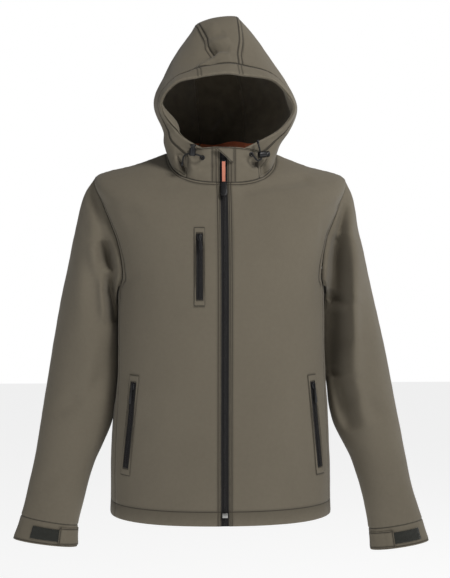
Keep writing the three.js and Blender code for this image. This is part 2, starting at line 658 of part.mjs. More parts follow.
// A pocket's zip lies along a line on the front, in the window of its welt, with a slider at its top.
function addPocket(name, pocket) {
  const top = point(pocket.topX, 0, pocket.topZ);
  const bottom = point(pocket.bottomX, 0, pocket.bottomZ);
  const along = top.clone().sub(bottom).normalize();
  const side = point(along.z, 0, -along.x);
  const place = (up, across) => {
    const p = bottom.clone().addScaledVector(along, up).addScaledVector(side, across);
    return frontAt(p.x, p.z).at;
  };
  const length = top.distanceTo(bottom);
  const rows = range(pocketSteps).reverse().map((i) => (length * i) / pocketSteps);
  const zip = rows.map((up) => [-1, 1].map((s) => place(up, s * (pocket.windowHalf - seamGap / 2))));
  addCloth(name + "_zip", zip, { finish: "zip", thickness: layThickness, lift: layOn + layThickness });
  const loop = (half, beyond) => {
    const ups = range(pocketSteps).map((i) => -beyond + ((length + 2 * beyond) * i) / pocketSteps);
    return [...ups.map((up) => place(up, half)), ...ups.reverse().map((up) => place(up, -half))];
  };
  const welt = [loop(pocket.windowHalf, 0), loop(pocket.weltHalf, pocket.weltEnds)];
  addCloth(name + "_welt", welt, { tube: true, thickness: layThickness, lift: layOn + layThickness });

  const sliderAt = top.clone().addScaledVector(along, -slider.below);
  const seat = frontAt(sliderAt.x, sliderAt.z);
  const up = place(length, 0).sub(place(length - slider.length, 0)).normalize();
  const group = standOn(seat, up, layOn + layThickness + runningGap);
  addMesh(name + "_slider", sliderBody(), "hard", group);
  const pull = pullOn(group, pocket.pullSwing);
  addMesh(name + "_pull", pullTab(pocket.pullLength, slider.pullWidth), "hard", pull);
}

// A group that stands on the cloth: its y axis points in, and its z axis up along the zip.
function standOn({ at, out }, up, height) {
  const group = new THREE.Group();
  const across = out.clone().cross(up).negate().normalize();
  const inward = out.clone().negate();
  group.position.copy(at).addScaledVector(out, height);
  group.setRotationFromMatrix(new THREE.Matrix4().makeBasis(across, inward, across.clone().cross(inward)));
  jacket.add(group);
  return group;
}

// The pull's pivot, in front of the upper end of the slider. swing turns the pull sideways as it hangs.
function pullOn(group, swing) {
  const pull = new THREE.Group();
  pull.position.set(0, -slider.height - runningGap - slider.pullThickness / 2, slider.pivotUp);
  pull.rotation.y = radians(swing);
  group.add(pull);
  return pull;
}

// A plate with round ends, in the xz plane. It is thick along y, from y = 0 towards -y.
function roundPlate(halfTop, halfBottom, top, bottom, thickness, bevel = 0) {
  const shape = new THREE.Shape();
  shape.absarc(0, top - halfTop, halfTop - bevel, 0, Math.PI, false);
  shape.absarc(0, bottom + halfBottom, halfBottom - bevel, Math.PI, 2 * Math.PI, false);
  const plate = new THREE.ExtrudeGeometry(shape, {
    depth: thickness - 2 * bevel,
    bevelEnabled: bevel > 0,
    bevelSize: bevel,
    bevelThickness: bevel,
    bevelSegments: 1,
    curveSegments: 5,
  });
  return plate.rotateX(Math.PI / 2).translate(0, -bevel, 0);
}
const sliderBody = () => {
  const { width, noseHalf, length, height, bevel } = slider;
  return roundPlate(width / 2, noseHalf, length / 2, -length / 2, height, bevel);
};
const pullTab = (length, width) => {
  const half = slider.pullThickness / 2;
  return roundPlate(half, width / 2, half, -length, slider.pullThickness).translate(0, half, 0);
};
addPocket("chest", chestPocket);
addPocket("hand_left", handPocket);
addPocket("hand_right", { ...handPocket, topX: -handPocket.topX, bottomX: -handPocket.bottomX });

// The main slider, with its orange tape and moulded end, and the box that the zip starts from.
const sliderSeat = onGrid(mainZip, mainSlider.row, 1);
const mainGroup = standOn(sliderSeat, point(0, 0, 1), runningGap);
addMesh("main_slider", sliderBody(), "hard", mainGroup);
const mainPull = pullOn(mainGroup, 0);
addMesh("main_pull_tape", pullTab(mainSlider.tapeLength, mainSlider.tapeWidth), "orange", mainPull);
const pullEnd = roundPlate(
  mainSlider.endTopHalf,
  mainSlider.endWidth / 2,
  0,
  -mainSlider.endLength,
  mainSlider.endThickness,
  slider.bevel,
);
const endGroup = new THREE.Group();
endGroup.position.set(0, slider.pullThickness / 2, -mainSlider.tapeLength - mainSlider.endDrop);
endGroup.rotation.x = radians(-mainSlider.endLean);
mainPull.add(endGroup);
addMesh("main_pull_end", pullEnd, "hard", endGroup);
const boxSeat = onGrid(mainZip, mainZip.length - mainSlider.boxRow, 1);
const boxGroup = standOn(boxSeat, point(0, 0, 1), runningGap);
const zipBox = new THREE.BoxGeometry(mainSlider.boxWidth, mainSlider.boxHeight, mainSlider.boxLength);
addMesh("main_zip_box", zipBox.translate(0, -mainSlider.boxHeight / 2, 0), "metal", boxGroup);

// A tab and a patch lie on each cuff, made from the cuff's own points. Places are in its rows and columns.
function addCuffPiece(name, cuff, piece) {
  const inner = range(cuff[0].length).filter((c) => c > piece.from && c < piece.to);
  const columns = [piece.from, ...inner, piece.to];
  const rows = [piece.top, 1, piece.bottom];
  const grid = rows.map((row) => columns.map((column) => onGrid(cuff, row, column).at));
  addCloth(name, grid, { finish: piece.finish, thickness: layThickness, lift: layOn + layThickness });
}
const clothNamed = (name) => cloths.find((cloth) => cloth.name === name);
// The right cuff's columns run the other way.
const turnedRound = (piece) => ({
  ...piece, from: lastCuffColumn - piece.to, to: lastCuffColumn - piece.from,
});
addCuffPiece("cuff_tab_left", clothNamed("cuff_left").grid, cuffTab);
addCuffPiece("cuff_patch_left", clothNamed("cuff_left").grid, cuffPatch);
addCuffPiece("cuff_tab_right", clothNamed("cuff_right").grid, turnedRound(cuffTab));
addCuffPiece("cuff_patch_right", clothNamed("cuff_right").grid, turnedRound(cuffPatch));

// A closed mesh as a solid that can be cut.
function solidOf(geometry) {
  const bare = geometry.clone();
  bare.deleteAttribute("normal");
  bare.deleteAttribute("uv");
  const merged = mergeVertices(bare, 1e-4);
  const triVerts = Uint32Array.from(merged.index.array);
  const vertProperties = merged.attributes.position.array;
  return new wasm.Manifold(new wasm.Mesh({ numProp: 3, vertProperties, triVerts }));
}

function geometryOf(solid) {
  const mesh = solid.getMesh();
  const geometry = new THREE.BufferGeometry();
  geometry.setAttribute("position", new THREE.BufferAttribute(mesh.vertProperties, 3));
  geometry.setIndex(new THREE.BufferAttribute(mesh.triVerts, 1));
  return geometry;
}

// A round piece about the z axis, from rows of radius and height that start and end on it.
const turned = (...profile) => {
  const points = profile.map(([radius, height]) => new THREE.Vector2(radius, height));
  return new THREE.LatheGeometry(points, roundSides).rotateX(Math.PI / 2);
};

// The barrel of a cord lock: a cup for the plunger, with a hole across it for the cord.
function lockBarrel() {
  const cup = turned(
    [0, 0], [lock.radius - lock.round, 0], [lock.radius, lock.round], [lock.radius, lock.length],
    [lock.bore, lock.length], [lock.bore, lock.floor], [0, lock.floor],
  );
  const hole = new THREE.CylinderGeometry(lock.holeRadius, lock.holeRadius, lock.radius * 3, 12);
  hole.rotateZ(Math.PI / 2).translate(0, 0, lock.holeHeight);
  return geometryOf(solidOf(cup).subtract(solidOf(hole)));
}
const lockPlunger = () =>
  turned(
    [0, lock.stemFrom], [lock.bore - runningGap, lock.stemFrom], [lock.bore - runningGap, lock.headFrom],
    [lock.headRadius, lock.headFrom], [lock.headRadius, lock.headTo - lock.round],
    [lock.headRadius - lock.round, lock.headTo], [0, lock.headTo],
  );

// A cord end on the collar: out of its eyelet, through its lock and on to its tip.
function addDrawcord(side, drawcord) {
  const collar = clothNamed("collar_" + side).grid;
  const seat = onGrid(collar, drawcord.eyeletRow, drawcord.eyeletColumn);
  const eyeletGroup = standOn(seat, point(0, 0, 1), runningGap);
  const ring = turned(
    [eyelet.inner, 0], [eyelet.outer, 0], [eyelet.outer, eyelet.height / 2],
    [eyelet.outer - eyelet.height / 2, eyelet.height], [eyelet.inner, eyelet.height], [eyelet.inner, 0],
  );
  addMesh("eyelet_" + side, ring.rotateX(Math.PI / 2), "hard", eyeletGroup);

  const start = seat.at.clone().addScaledVector(seat.out, runningGap * 2);
  const route = [start, ...drawcord.route.map(([x, y, z]) => point(x, y, z))];
  const curve = new THREE.CatmullRomCurve3(route, false, "centripetal");
  const section = new THREE.Shape().absarc(0, 0, cordDiameter / 2, 0, 2 * Math.PI);
  const cord = new THREE.ExtrudeGeometry(section, {
    steps: 14,
    extrudePath: curve,
    curveSegments: 8,
    bevelEnabled: false,
  });
  addMesh("cord_" + side, cord, "hard");

  const tip = new THREE.Group();
  const end = route[route.length - 1];
  const onward = curve.getTangent(1);
  tip.position.copy(end).addScaledVector(onward, runningGap);
  tip.quaternion.setFromUnitVectors(point(0, 0, 1), onward);
  jacket.add(tip);
  const { radius, length, taper } = cordTip;
  const shoulder = length - 2 * taper;
  const cap = turned([0, 0], [radius, 0], [radius, shoulder], [radius - taper, length], [0, length]);
  addMesh("cord_tip_" + side, cap, "metal", tip);

  const lockGroup = new THREE.Group();
  const lockShare = drawcord.lockPoint / drawcord.route.length;
  const through = curve.getTangent(lockShare);
  const axis = point(...drawcord.lockAxis);
  axis.addScaledVector(through, -axis.dot(through)).normalize();
  lockGroup.setRotationFromMatrix(new THREE.Matrix4().makeBasis(through, axis.clone().cross(through), axis));
  lockGroup.position.copy(curve.getPoint(lockShare)).addScaledVector(axis, -lock.holeHeight);
  jacket.add(lockGroup);
  addMesh("cord_lock_" + side, lockBarrel(), "hard", lockGroup);
  addMesh("plunger_" + side, lockPlunger(), "hard", lockGroup);
}
addDrawcord("left", leftDrawcord);
addDrawcord("right", rightDrawcord);

shareSeamNormals();
pressFolds();
cloths.forEach((cloth) => addMesh(cloth.name, wallOf(cloth), cloth.finish));

export default jacket;
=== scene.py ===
import math

import bmesh
import bpy
import numpy as np
from mathutils import Matrix, Vector, noise
from mathutils.kdtree import KDTree


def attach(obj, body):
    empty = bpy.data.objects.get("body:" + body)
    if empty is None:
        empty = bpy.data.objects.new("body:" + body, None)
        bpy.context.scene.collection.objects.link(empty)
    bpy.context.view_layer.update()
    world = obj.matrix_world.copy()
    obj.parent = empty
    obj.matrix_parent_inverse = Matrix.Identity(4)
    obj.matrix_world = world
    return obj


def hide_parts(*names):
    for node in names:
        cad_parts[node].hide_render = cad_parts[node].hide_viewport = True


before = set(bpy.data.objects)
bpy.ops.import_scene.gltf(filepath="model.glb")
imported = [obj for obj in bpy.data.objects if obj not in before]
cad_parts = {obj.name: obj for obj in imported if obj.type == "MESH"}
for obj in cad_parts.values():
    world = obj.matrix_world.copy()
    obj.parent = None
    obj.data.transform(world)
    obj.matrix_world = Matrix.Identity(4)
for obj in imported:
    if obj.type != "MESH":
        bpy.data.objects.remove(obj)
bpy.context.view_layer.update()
mm = 0.001  # the tables are in millimetres, and every mesh is in metres


# camera
# level with the middle of the jacket, a little to its right
view = {"azimuth": -3.5, "distance": 2.45, "height": -0.239, "tall": 1.069, "shiftX": 0.0078, "sensor": 36}


def addCamera(s):
    data = bpy.data.cameras.new("camera")
    data.sensor_width = s["sensor"]
    data.lens = s["sensor"] * s["distance"] / s["tall"]
    data.shift_x = s["shiftX"]
    data.clip_end = 50
    camera = bpy.data.objects.new("camera", data)
    turn = math.radians(s["azimuth"])
    camera.location = (s["distance"] * math.sin(turn), -s["distance"] * math.cos(turn), s["height"])
    camera.rotation_euler = (math.pi / 2, 0, turn)
    bpy.context.scene.collection.objects.link(camera)
    bpy.context.scene.camera = camera


addCamera(view)
print("camera placed")


# the hood drawcords: each comes out of its eyelet, goes through its lock and ends in a tip
drawcords = {
    "left": {
        "diameter": 3, "start": (50.29, -83.22, 1.87),
        "route": [
            (51, -90, 3), (54, -93.5, -3), (61, -93, -10), (66.8, -91, -7), (65.8, -90.7, 1), (64.8, -90.4, 9),
            (63.3, -91, 15), (62, -91.5, 20),
        ],
    },
    "right": {
        "diameter": 3, "start": (-37.58, -87.04, -4.91),
        "route": [
            (-36.5, -92.5, -4.6), (-41, -95.5, -2.8), (-48.5, -95.5, -0.2), (-56, -94.2, 0.6), (-63.5, -92.9, 1.4),
            (-69, -90.5, -1), (-72, -88.5, -6), (-73, -87, -13),
        ],
    },
}


# an evenly spaced walk along a centripetal curve through the points
def walkThrough(points, count):
    points = np.array(points, float)
    points = np.concatenate([[2 * points[0] - points[1]], points, [2 * points[-1] - points[-2]]])
    made = []
    for a, b, c, d in zip(points, points[1:], points[2:], points[3:]):
        first, middle, last = (max(np.linalg.norm(q - p) ** 0.5, 1e-4) for p, q in ((a, b), (b, c), (c, d)))
        out = ((b - a) / first - (c - a) / (first + middle) + (c - b) / middle) * middle
        into = ((c - b) / middle - (d - b) / (middle + last) + (d - c) / last) * middle
        t = np.linspace(0, 1, 60, endpoint=False)[:, None]
        made.append(b + out * t + (3 * (c - b) - 2 * out - into) * t**2 + (2 * (b - c) + out + into) * t**3)
    line = np.concatenate([*made, points[-2:-1]])
    reach = np.concatenate([[0], np.cumsum(np.linalg.norm(np.diff(line, axis=0), axis=1))])
    steps = np.linspace(0, reach[-1], count)
    return np.stack([np.interp(steps, reach, line[:, k]) for k in range(3)], -1), reach[-1]


def addCord(side, s):
    name = "cord" + side.capitalize()
    line, length = walkThrough([s["start"], *s["route"]], 34)
    curve = bpy.data.curves.new(name, "CURVE")
    curve.dimensions = "3D"
    curve.bevel_depth = s["diameter"] / 2 * mm
    curve.bevel_resolution = 4
    curve.use_fill_caps = True
    spline = curve.splines.new("POLY")
    spline.points.add(len(line) - 1)
    for point, at in zip(spline.points, line * mm):
        point.co = (*at, 1)
    draft = bpy.data.objects.new("draft", curve)
    mesh = bpy.data.meshes.new_from_object(draft)
    bpy.data.objects.remove(draft)
    mesh.name = name
    mesh.uv_layers[0].name = "cloth"
    for corner in mesh.uv_layers[0].data:
        corner.uv = (corner.uv[1] * math.pi * s["diameter"] * mm, corner.uv[0] * length * mm)
    piece = bpy.data.objects.new(name, mesh)
    bpy.context.scene.collection.objects.link(piece)
    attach(piece, "root")
    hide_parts("cord_" + side)
    print(f"cord {side}: {length:.1f} mm")
    return {"piece": piece, "length": length * mm, "exit": tuple(line[0] * mm), "path": [tuple(p) for p in line * mm]}


cords = {side: addCord(side, s) for side, s in drawcords.items()}


# shader maths
# a socket that can be added, multiplied and so on, with a Math node for each step
class Wire:
    def __init__(self, tree, socket=None):
        self.tree = tree
        self.socket = socket

    # any node: its type, its settings, then the values or links of its inputs
    def node(self, kind, settings=None, inputs=None, out=0):
        made = self.tree.nodes.new(kind)
        for name, value in (settings or {}).items():
            setattr(made, name, value)
        for name, value in (inputs or {}).items():
            if isinstance(value, Wire):
                self.tree.links.new(value.socket, made.inputs[name])
            else:
                made.inputs[name].default_value = value
        return Wire(self.tree, made.outputs[out])

    def math(self, operation, first, second=0.0):
        return self.node("ShaderNodeMath", {"operation": operation}, {0: first, 1: second})

    def __add__(self, other):
        return self.math("ADD", self, other)

    def __sub__(self, other):
        return self.math("SUBTRACT", self, other)

    def __rsub__(self, other):
        return self.math("SUBTRACT", other, self)

    def __mul__(self, other):
        return self.math("MULTIPLY", self, other)

    __radd__ = __add__
    __rmul__ = __mul__

    def sine(self):
        return self.math("SINE", self)

    def clamped(self):
        return self.node("ShaderNodeClamp", None, {0: self})


def colour(hexCode):
    parts = [int(hexCode[i : i + 2], 16) / 255 for i in (0, 2, 4)]
    return [p / 12.92 if p <= 0.04045 else ((p + 0.055) / 1.055) ** 2.4 for p in parts] + [1]


# a colour between two others, each a hex code or a link
def mixed(factor, first, second):
    made = factor.tree.nodes.new("ShaderNodeMix")
    made.data_type = "RGBA"
    for socket, value in ((0, factor), (6, first), (7, second)):
        if isinstance(value, Wire):
            factor.tree.links.new(value.socket, made.inputs[socket])
        else:
            made.inputs[socket].default_value = colour(value)
    return Wire(factor.tree, made.outputs[2])


# a material with its fixed values, and the place on the object that its patterns read
def newMaterial(name, constants):
    material = bpy.data.materials.new(name)
    material.use_nodes = True
    shader = material.node_tree.nodes["Principled BSDF"]
    for socket, value in constants.items():
        shader.inputs[socket].default_value = value
    return material, Wire(material.node_tree).node("ShaderNodeTexCoord", out=3)


def feed(material, **links):
    tree = material.node_tree
    for name, value in links.items():
        tree.links.new(value.socket, tree.nodes["Principled BSDF"].inputs[name.replace("_", " ")])
    return material


def noiseOf(place, scale, detail):
    return place.node("ShaderNodeTexNoise", None, {"Vector": place, "Scale": scale, "Detail": detail})


def bumpOf(height, strength, distance):
    return height.node("ShaderNodeBump", None, {"Height": height, "Strength": strength, "Distance": distance})


# across and down the cloth, in metres
def clothMap(place):
    flat = place.node("ShaderNodeUVMap", {"uv_map": "cloth"})
    return [flat.node("ShaderNodeSeparateXYZ", None, {0: flat}, out=k) for k in (0, 1)]


# the outer face: a smooth tight weave with soft mottling, paler where it is rubbed along its seams
# the seam colour is painted shade along the seams and stitch lines, standing partly for the dark thread
clothLook = {
    "lit": "746d5f", "deep": "665f52", "rubbed": "827b6c", "seam": "231f1a", "seamShade": 0.85, "thread": 0.55 * mm,
    "rough": 0.84, "sheen": 0.12,
}
# the fleece inside
liningLook = {"lit": "6a604f", "deep": "4a4337", "pile": 900.0}


def softshell(s):
    sheen = {"Sheen Weight": s["sheen"], "Sheen Roughness": 0.5, "Specular IOR Level": 0.25}
    material, place = newMaterial("softshell", sheen)
    across, down = clothMap(place)
    turn = 2 * math.pi / s["thread"]
    weave = (across * turn).sine() * (down * turn).sine()
    broad, fine = noiseOf(place, 7.0, 3.0), noiseOf(place, 160.0, 4.0)
    near, dark = [place.node("ShaderNodeAttribute", {"attribute_name": name}, out=2) for name in ("nearEdge", "dark")]
    tone = mixed((broad * 0.7 + fine * 0.5 - 0.1).clamped(), s["deep"], s["lit"])
    rubbed = mixed((near * (fine * 1.6 - 0.45)).clamped(), tone, s["rubbed"])
    # the dark attribute draws the colour towards the seam colour: painted shade along the seams and stitch lines
    return feed(
        material,
        Base_Color=mixed((dark * s["seamShade"]).clamped(), rubbed, s["seam"]),
        Roughness=fine * 0.1 + (s["rough"] - 0.05),
        Normal=bumpOf(weave * 0.5 + fine * 1.2, 0.35, 0.12 * mm),
    )


def fleece(s):
    sheen = {"Sheen Weight": 0.3, "Sheen Roughness": 0.6, "Specular IOR Level": 0.15}
    material, place = newMaterial("fleece", sheen)
    pile, clumps = noiseOf(place, s["pile"], 3.0), noiseOf(place, 60.0, 3.0)
    return feed(
        material,
        Base_Color=mixed((clumps * 1.2 - 0.1).clamped(), s["deep"], s["lit"]),
        Roughness=pile * 0.08 + 0.9,
        Normal=bumpOf(pile + clumps * 0.5, 0.6, 0.5 * mm),
    )


def sewingThread(name, tones):
    material, place = newMaterial(name, {"Specular IOR Level": 0.3})
    twist = noiseOf(place, 2600.0, 1.0)
    return feed(
        material,
        Base_Color=mixed(twist, *tones),
        Roughness=twist * 0.2 + 0.6,
        Normal=bumpOf(twist, 0.5, 0.1 * mm),
    )


# ribbed tape, as on a zip or a webbing pull: ribs run across it
def ribbedTape(name, tones, pitch, rough):
    material, place = newMaterial(name, {"Specular IOR Level": 0.35})
    across, down = clothMap(place)
    ribs = (down * (2 * math.pi / pitch)).sine() * 0.5 + 0.5
    cross = (across * (2 * math.pi / (pitch * 0.7))).sine() * 0.5 + 0.5
    fine = noiseOf(place, 400.0, 3.0)
    return feed(
        material,
        Base_Color=mixed((ribs * 0.4 + fine * 0.7 - 0.1).clamped(), *tones),
        Roughness=fine * 0.15 + (rough - 0.07),
        Normal=bumpOf(ribs + cross * 0.5 + fine * 0.6, 0.5, 0.2 * mm),
    )


# moulded plastic with a fine grain, scuffed a little in places
def moulded(name, tones, rough):
    material, place = newMaterial(name, {"Coat Roughness": 0.25, "Specular IOR Level": 0.5})
    grain, scuffs = noiseOf(place, 1500.0, 2.0), noiseOf(place, 130.0, 4.0)
    return feed(
        material,
        Base_Color=mixed((scuffs * 1.4 - 0.3).clamped(), *tones),
        Roughness=scuffs * 0.25 + (rough - 0.1),
        Normal=bumpOf(grain + scuffs * 0.4, 0.25, 0.1 * mm),
    )


def scratchedMetal(name, tones):
    material, place = newMaterial(name, {"Metallic": 1.0})
    scratches = noiseOf(place, 500.0, 4.0)
    return feed(
        material,
        Base_Color=mixed(scratches, *tones),
        Roughness=scratches * 0.3 + 0.2,
        Normal=bumpOf(scratches, 0.2, 0.1 * mm),
    )


# the soft half of a hook and loop patch
def loopPile(name, tones):
    material, place = newMaterial(name, {"Sheen Weight": 0.4, "Specular IOR Level": 0.2})
    loops = place.node("ShaderNodeTexVoronoi", None, {"Vector": place, "Scale": 1400.0})
    clumps = noiseOf(place, 220.0, 3.0)
    return feed(
        material,
        Base_Color=mixed((loops * 0.6 + clumps * 0.6 - 0.1).clamped(), *tones),
        Roughness=clumps * 0.1 + 0.88,
        Normal=bumpOf(loops + clumps, 0.9, 0.5 * mm),
    )


looks = {
    "cloth": softshell(clothLook),
    "lining": fleece(liningLook),
    "thread": sewingThread("sewing thread", ("3d382f", "4c463b")),
    "darkThread": sewingThread("dark sewing thread", ("121212", "232222")),
    "zip": ribbedTape("zip tape", ("0d0c0d", "1d1b1c"), 0.9 * mm, 0.75),
    "teeth": moulded("zip coil", ("131213", "262425"), 0.42),
    "hard": moulded("black moulding", ("0c0c0e", "1d1d20"), 0.32),
    "orange": ribbedTape("orange tape", ("ff7444", "ffa884"), 1.3 * mm, 0.62),
    "pull": ribbedTape("orange pull tape", ("ee8468", "ffb49c"), 1.1 * mm, 0.6),
    "patch": loopPile("loop patch", ("161714", "33342e")),
    "cord": ribbedTape("cord braid", ("101011", "2a2a2c"), 1.4 * mm, 0.7),
    "metal": scratchedMetal("bright metal", ("8e8e8c", "c9c9c6")),
    "darkMetal": scratchedMetal("blackened metal", ("1c1c1e", "4a4a4c")),
}
print("materials made")


# curves and tables
def table(names, *rows):
    return {name: np.array([row[i] for row in rows], float) for i, name in enumerate(names.split())}


# a smooth curve through rows of numbers or points; place 1.5 is midway from row 1 to row 2
def smooth(values, place):
    values, place = np.asarray(values, float), np.asarray(place, float)
    last = len(values) - 1
    padded = np.concatenate([[2 * values[0] - values[1]], values, [2 * values[-1] - values[-2]]])
    i = np.clip(np.floor(place), 0, last - 1).astype(int)
    f = (place - i).reshape(place.shape + (1,) * (values.ndim - 1))
    before, after = (padded[i + 2] - padded[i]) / 2, (padded[i + 3] - padded[i + 1]) / 2
    rise = padded[i + 2] - padded[i + 1]
    return padded[i + 1] + f * (before + f * (3 * rise - 2 * before - after + f * (before + after - 2 * rise)))


def xyz(x, y, z):
    return np.stack(np.broadcast_arrays(*[np.asarray(v, float) for v in (x, y, z)]), -1)


def step(value, low, high):
    t = np.clip((np.asarray(value, float) - low) / (high - low), 0, 1)
    return t * t * (3 - 2 * t)


# 1 at no distance, fading to nothing at about twice the reach
def bell(distance, reach):
    return np.exp(-((distance / reach) ** 2))


def mirrored(grid):
    return (grid * [-1, 1, 1])[:, ::-1]


# how far each point of a grid is down its rows (axis 0) or across its columns (axis 1)
def runs(grid, axis):
    return np.cumsum(np.linalg.norm(np.diff(grid, axis=axis, prepend=np.take(grid, [0], axis)), axis=2), axis)


def lengthsOf(line):
    return np.concatenate([[0], np.cumsum(np.linalg.norm(np.diff(line, axis=0), axis=1))])


def along(line, distances):
    reach = lengthsOf(line)
    return np.stack([np.interp(distances, reach, line[:, k]) for k in range(3)], -1)


# body
zipOpening = 7
bodyRings = table(
    "halfWidth front back frontZ sideZ backZ square fall",
    (97, 92, 72, -49, 13, 20, 0.75, 0.95),
    (160, 104, 94, -76, -11, -15, 0.9, 1.5),
    (229, 114, 106, -102, -32, -50, 0.9, 1.5),
    (222, 122, 113, -130, -72, -90, 0.88, 1.4),
    (209, 128, 118, -158, -115, -130, 0.86, 1.2),
    (200, 131, 121, -188, -155, -165, 0.85, 1),
    (195, 133, 121, -214, -188, -195, 0.85, 1),
    (192, 134, 119, -230, -210, -214, 0.85, 1),
    (191, 134, 118, -245, -223, -228, 0.85, 1),
    (191, 133, 111, -310, -296, -298, 0.85, 1),
    (193, 131, 104, -390, -382, -382, 0.85, 1),
    (198, 129, 104, -478, -471, -471, 0.85, 1),
    (202, 129, 110, -568, -561, -563, 0.85, 1),
    (202.5, 131, 116, -655, -647, -655, 0.85, 1),
)
shoulderRing, armpitRing, hemRing = 2, 8, 13
armhole = table("front back", (90, 90), (77, 79), (70, 73), (66.5, 71), (66, 77), (68, 92), (72, 108))


def bodyPoint(degrees, place):
    degrees, place = np.broadcast_arrays(np.asarray(degrees, float), np.asarray(place, float))
    ring = {name: smooth(values, place) for name, values in bodyRings.items()}
    angle = np.radians(degrees)
    side = np.abs(np.sin(angle)) ** ring["square"] * np.sign(np.sin(angle))
    share = np.abs(np.cos(angle)) ** ring["square"]
    inFront = np.cos(angle) > 0
    depth = share * np.where(inFront, -ring["front"], ring["back"])
    drop = share ** ring["fall"] * (np.where(inFront, ring["frontZ"], ring["backZ"]) - ring["sideZ"])
    return xyz(ring["halfWidth"] * side, depth, ring["sideZ"] + drop)


def degreesAt(x, place):
    share = np.minimum(x / smooth(bodyRings["halfWidth"], place), 1)
    return np.degrees(np.arcsin(share ** (1 / smooth(bodyRings["square"], place))))


def panelEdge(name, place):
    return smooth(armhole[name], np.clip(place, shoulderRing, armpitRing) - shoulderRing)


def zipOnBody(x, place):
    x = np.asarray(x, float)
    p = bodyPoint(degreesAt(np.abs(x), place), place)
    return xyz(x, p[..., 1], p[..., 2])


bodyPlaces = np.linspace(0, hemRing, 300)[:, None]


def frontPanel():
    start = degreesAt(zipOpening, bodyPlaces)
    return bodyPoint(start + (panelEdge("front", bodyPlaces) - start) * np.linspace(0, 1, 120), bodyPlaces)


def backPanel():
    edge = panelEdge("back", bodyPlaces)
    return bodyPoint(180 - edge + 2 * edge * np.linspace(0, 1, 221), bodyPlaces)


# the place on the front at x and z, by halving the stretch that it lies in
def frontAt(x, z, halvings=26):
    x, z = np.broadcast_arrays(np.asarray(x, float), np.asarray(z, float))
    low, high = np.zeros(x.shape), np.full(x.shape, float(hemRing))
    for _ in range(halvings):
        middle = (low + high) / 2
        above = zipOnBody(x, middle)[..., 2] > z
        low, high = np.where(above, middle, low), np.where(above, high, middle)
    return zipOnBody(x, low)


# sleeves
sleeveColumns = "outerX outerZ innerX innerZ halfDepth middleY"
rightSleeve = table(
    sleeveColumns,
    (229, -32, 189, -218, 58, 0), (250, -66, 189, -230, 66, 3), (266, -124, 187, -262, 70, 8),
    (282, -203, 186, -303, 71, 10), (299, -284, 186, -355, 67, 9), (311, -362, 189, -418, 60, 6),
    (324, -440, 202, -488, 52, 1), (336, -520, 231, -556, 45, -5), (349, -588, 248, -614, 38, -10),
    (365, -650, 261, -669, 32, -13), (379, -692, 263, -708, 31, -15),
)
leftSleeve = table(
    sleeveColumns,
    (229, -32, 189, -218, 58, 0), (244, -68, 192, -230, 66, 3), (256, -128, 192, -262, 71, 8),
    (275, -207, 192.5, -303, 73, 10), (293, -288, 193.5, -355, 69, 9), (310, -367, 198, -414, 62, 6),
    (325, -447, 209, -484, 54, 1), (340, -526, 241, -552, 46, -5), (354, -600, 262, -616, 38, -10),
    (374, -664, 274, -681, 32, -13), (386, -704, 277, -720, 31, -15),
)
cuffSeam = 9
armholeFade = 3
armholeColumns = 9
loopParts, cuffParts = 7, 20  # points for each column of the armhole, and for each row of the cuff, of the solids


def armholeLoop():
    places = np.linspace(shoulderRing, armpitRing, armholeColumns * loopParts + 1)
    down = bodyPoint(180 - panelEdge("back", places), places)
    up = bodyPoint(panelEdge("front", places), places)[::-1]
    return np.concatenate([down, up[1:]])


def sleeveRing(sections, place, angles):
    s = {name: smooth(values, place)[..., None] for name, values in sections.items()}
    outer, inner = xyz(s["outerX"], s["middleY"], s["outerZ"]), xyz(s["innerX"], s["middleY"], s["innerZ"])
    ring = (outer + inner) / 2 + (outer - inner) / 2 * np.cos(angles)[:, None]
    return ring - xyz(0, s["halfDepth"] * np.sin(angles), 0)


def sleeveGrid(sections, places):
    loop = armholeLoop()
    outer, front, inner = sleeveRing(sections, np.array([0.0]), np.array([0, math.pi / 2, math.pi]))[0]
    middle, reach = (outer + inner) / 2, (outer - inner) / 2
    arm = loop - middle
    angles = np.arctan2(-arm[:, 1] / np.linalg.norm(front - middle), arm @ reach / (reach @ reach))
    first = sleeveRing(sections, np.array([0.0]), angles)[0]
    fade = (1 - step(places, 0, armholeFade))[:, None, None]
    return sleeveRing(sections, places, angles) + (loop - first) * fade


# collar and hood
collarTop = {"zipY": -87, "zipZ": 15, "sideX": 64, "sideY": -77, "sideZ": 8, "rimX": 40, "bow": 4}
hoodSections = {
    "seam": [(41, -97, 141), (40, -62, 182), (39, -8, 252), (38, 38, 256), (37, 86, 213)],
    "high": [(90, -92, 130), (92, -58, 152), (90, -10, 183), (86, 40, 185), (42, 114, 165)],
    "wide": [(121, -76, 88), (127, -50, 97), (130, -8, 103), (112, 46, 106), (44, 112, 106)],
    "low": [(91, -76, 43), (106, -58, 32), (111, -16, 44), (99, 46, 52), (41, 91, 54)],
}
hoodShape = {
    "crown": 5, "lean": 0.2, "leanZ": (100, 250), "sway": (0, 9, 4, -5, -8), "swayZ": (21, 46), "height": 262,
}
lastColumn, footRow = 19, 12  # of the hood's side: the back of the crown, and the neck seam


# the neck seam: column 0 is at the zip, 10 at the shoulder seam and 20 in the middle of the back
def neckSeam(column):
    column = np.asarray(column, float)
    start = degreesAt(zipOpening, 0.0)
    degrees = np.where(column < 10, start + (90 - start) * column / 10, 90 + 9 * (column - 10))
    return bodyPoint(degrees, 0.0)


def collarTopPoint(x):
    c = collarTop
    x = np.asarray(x, float)
    f = (x - zipOpening) / (c["sideX"] - zipOpening)
    y = c["zipY"] + (c["sideY"] - c["zipY"]) * f - c["bow"] * np.sin(math.pi * f)
    return xyz(x, y, c["zipZ"] + (c["sideZ"] - c["zipZ"]) * f * f)


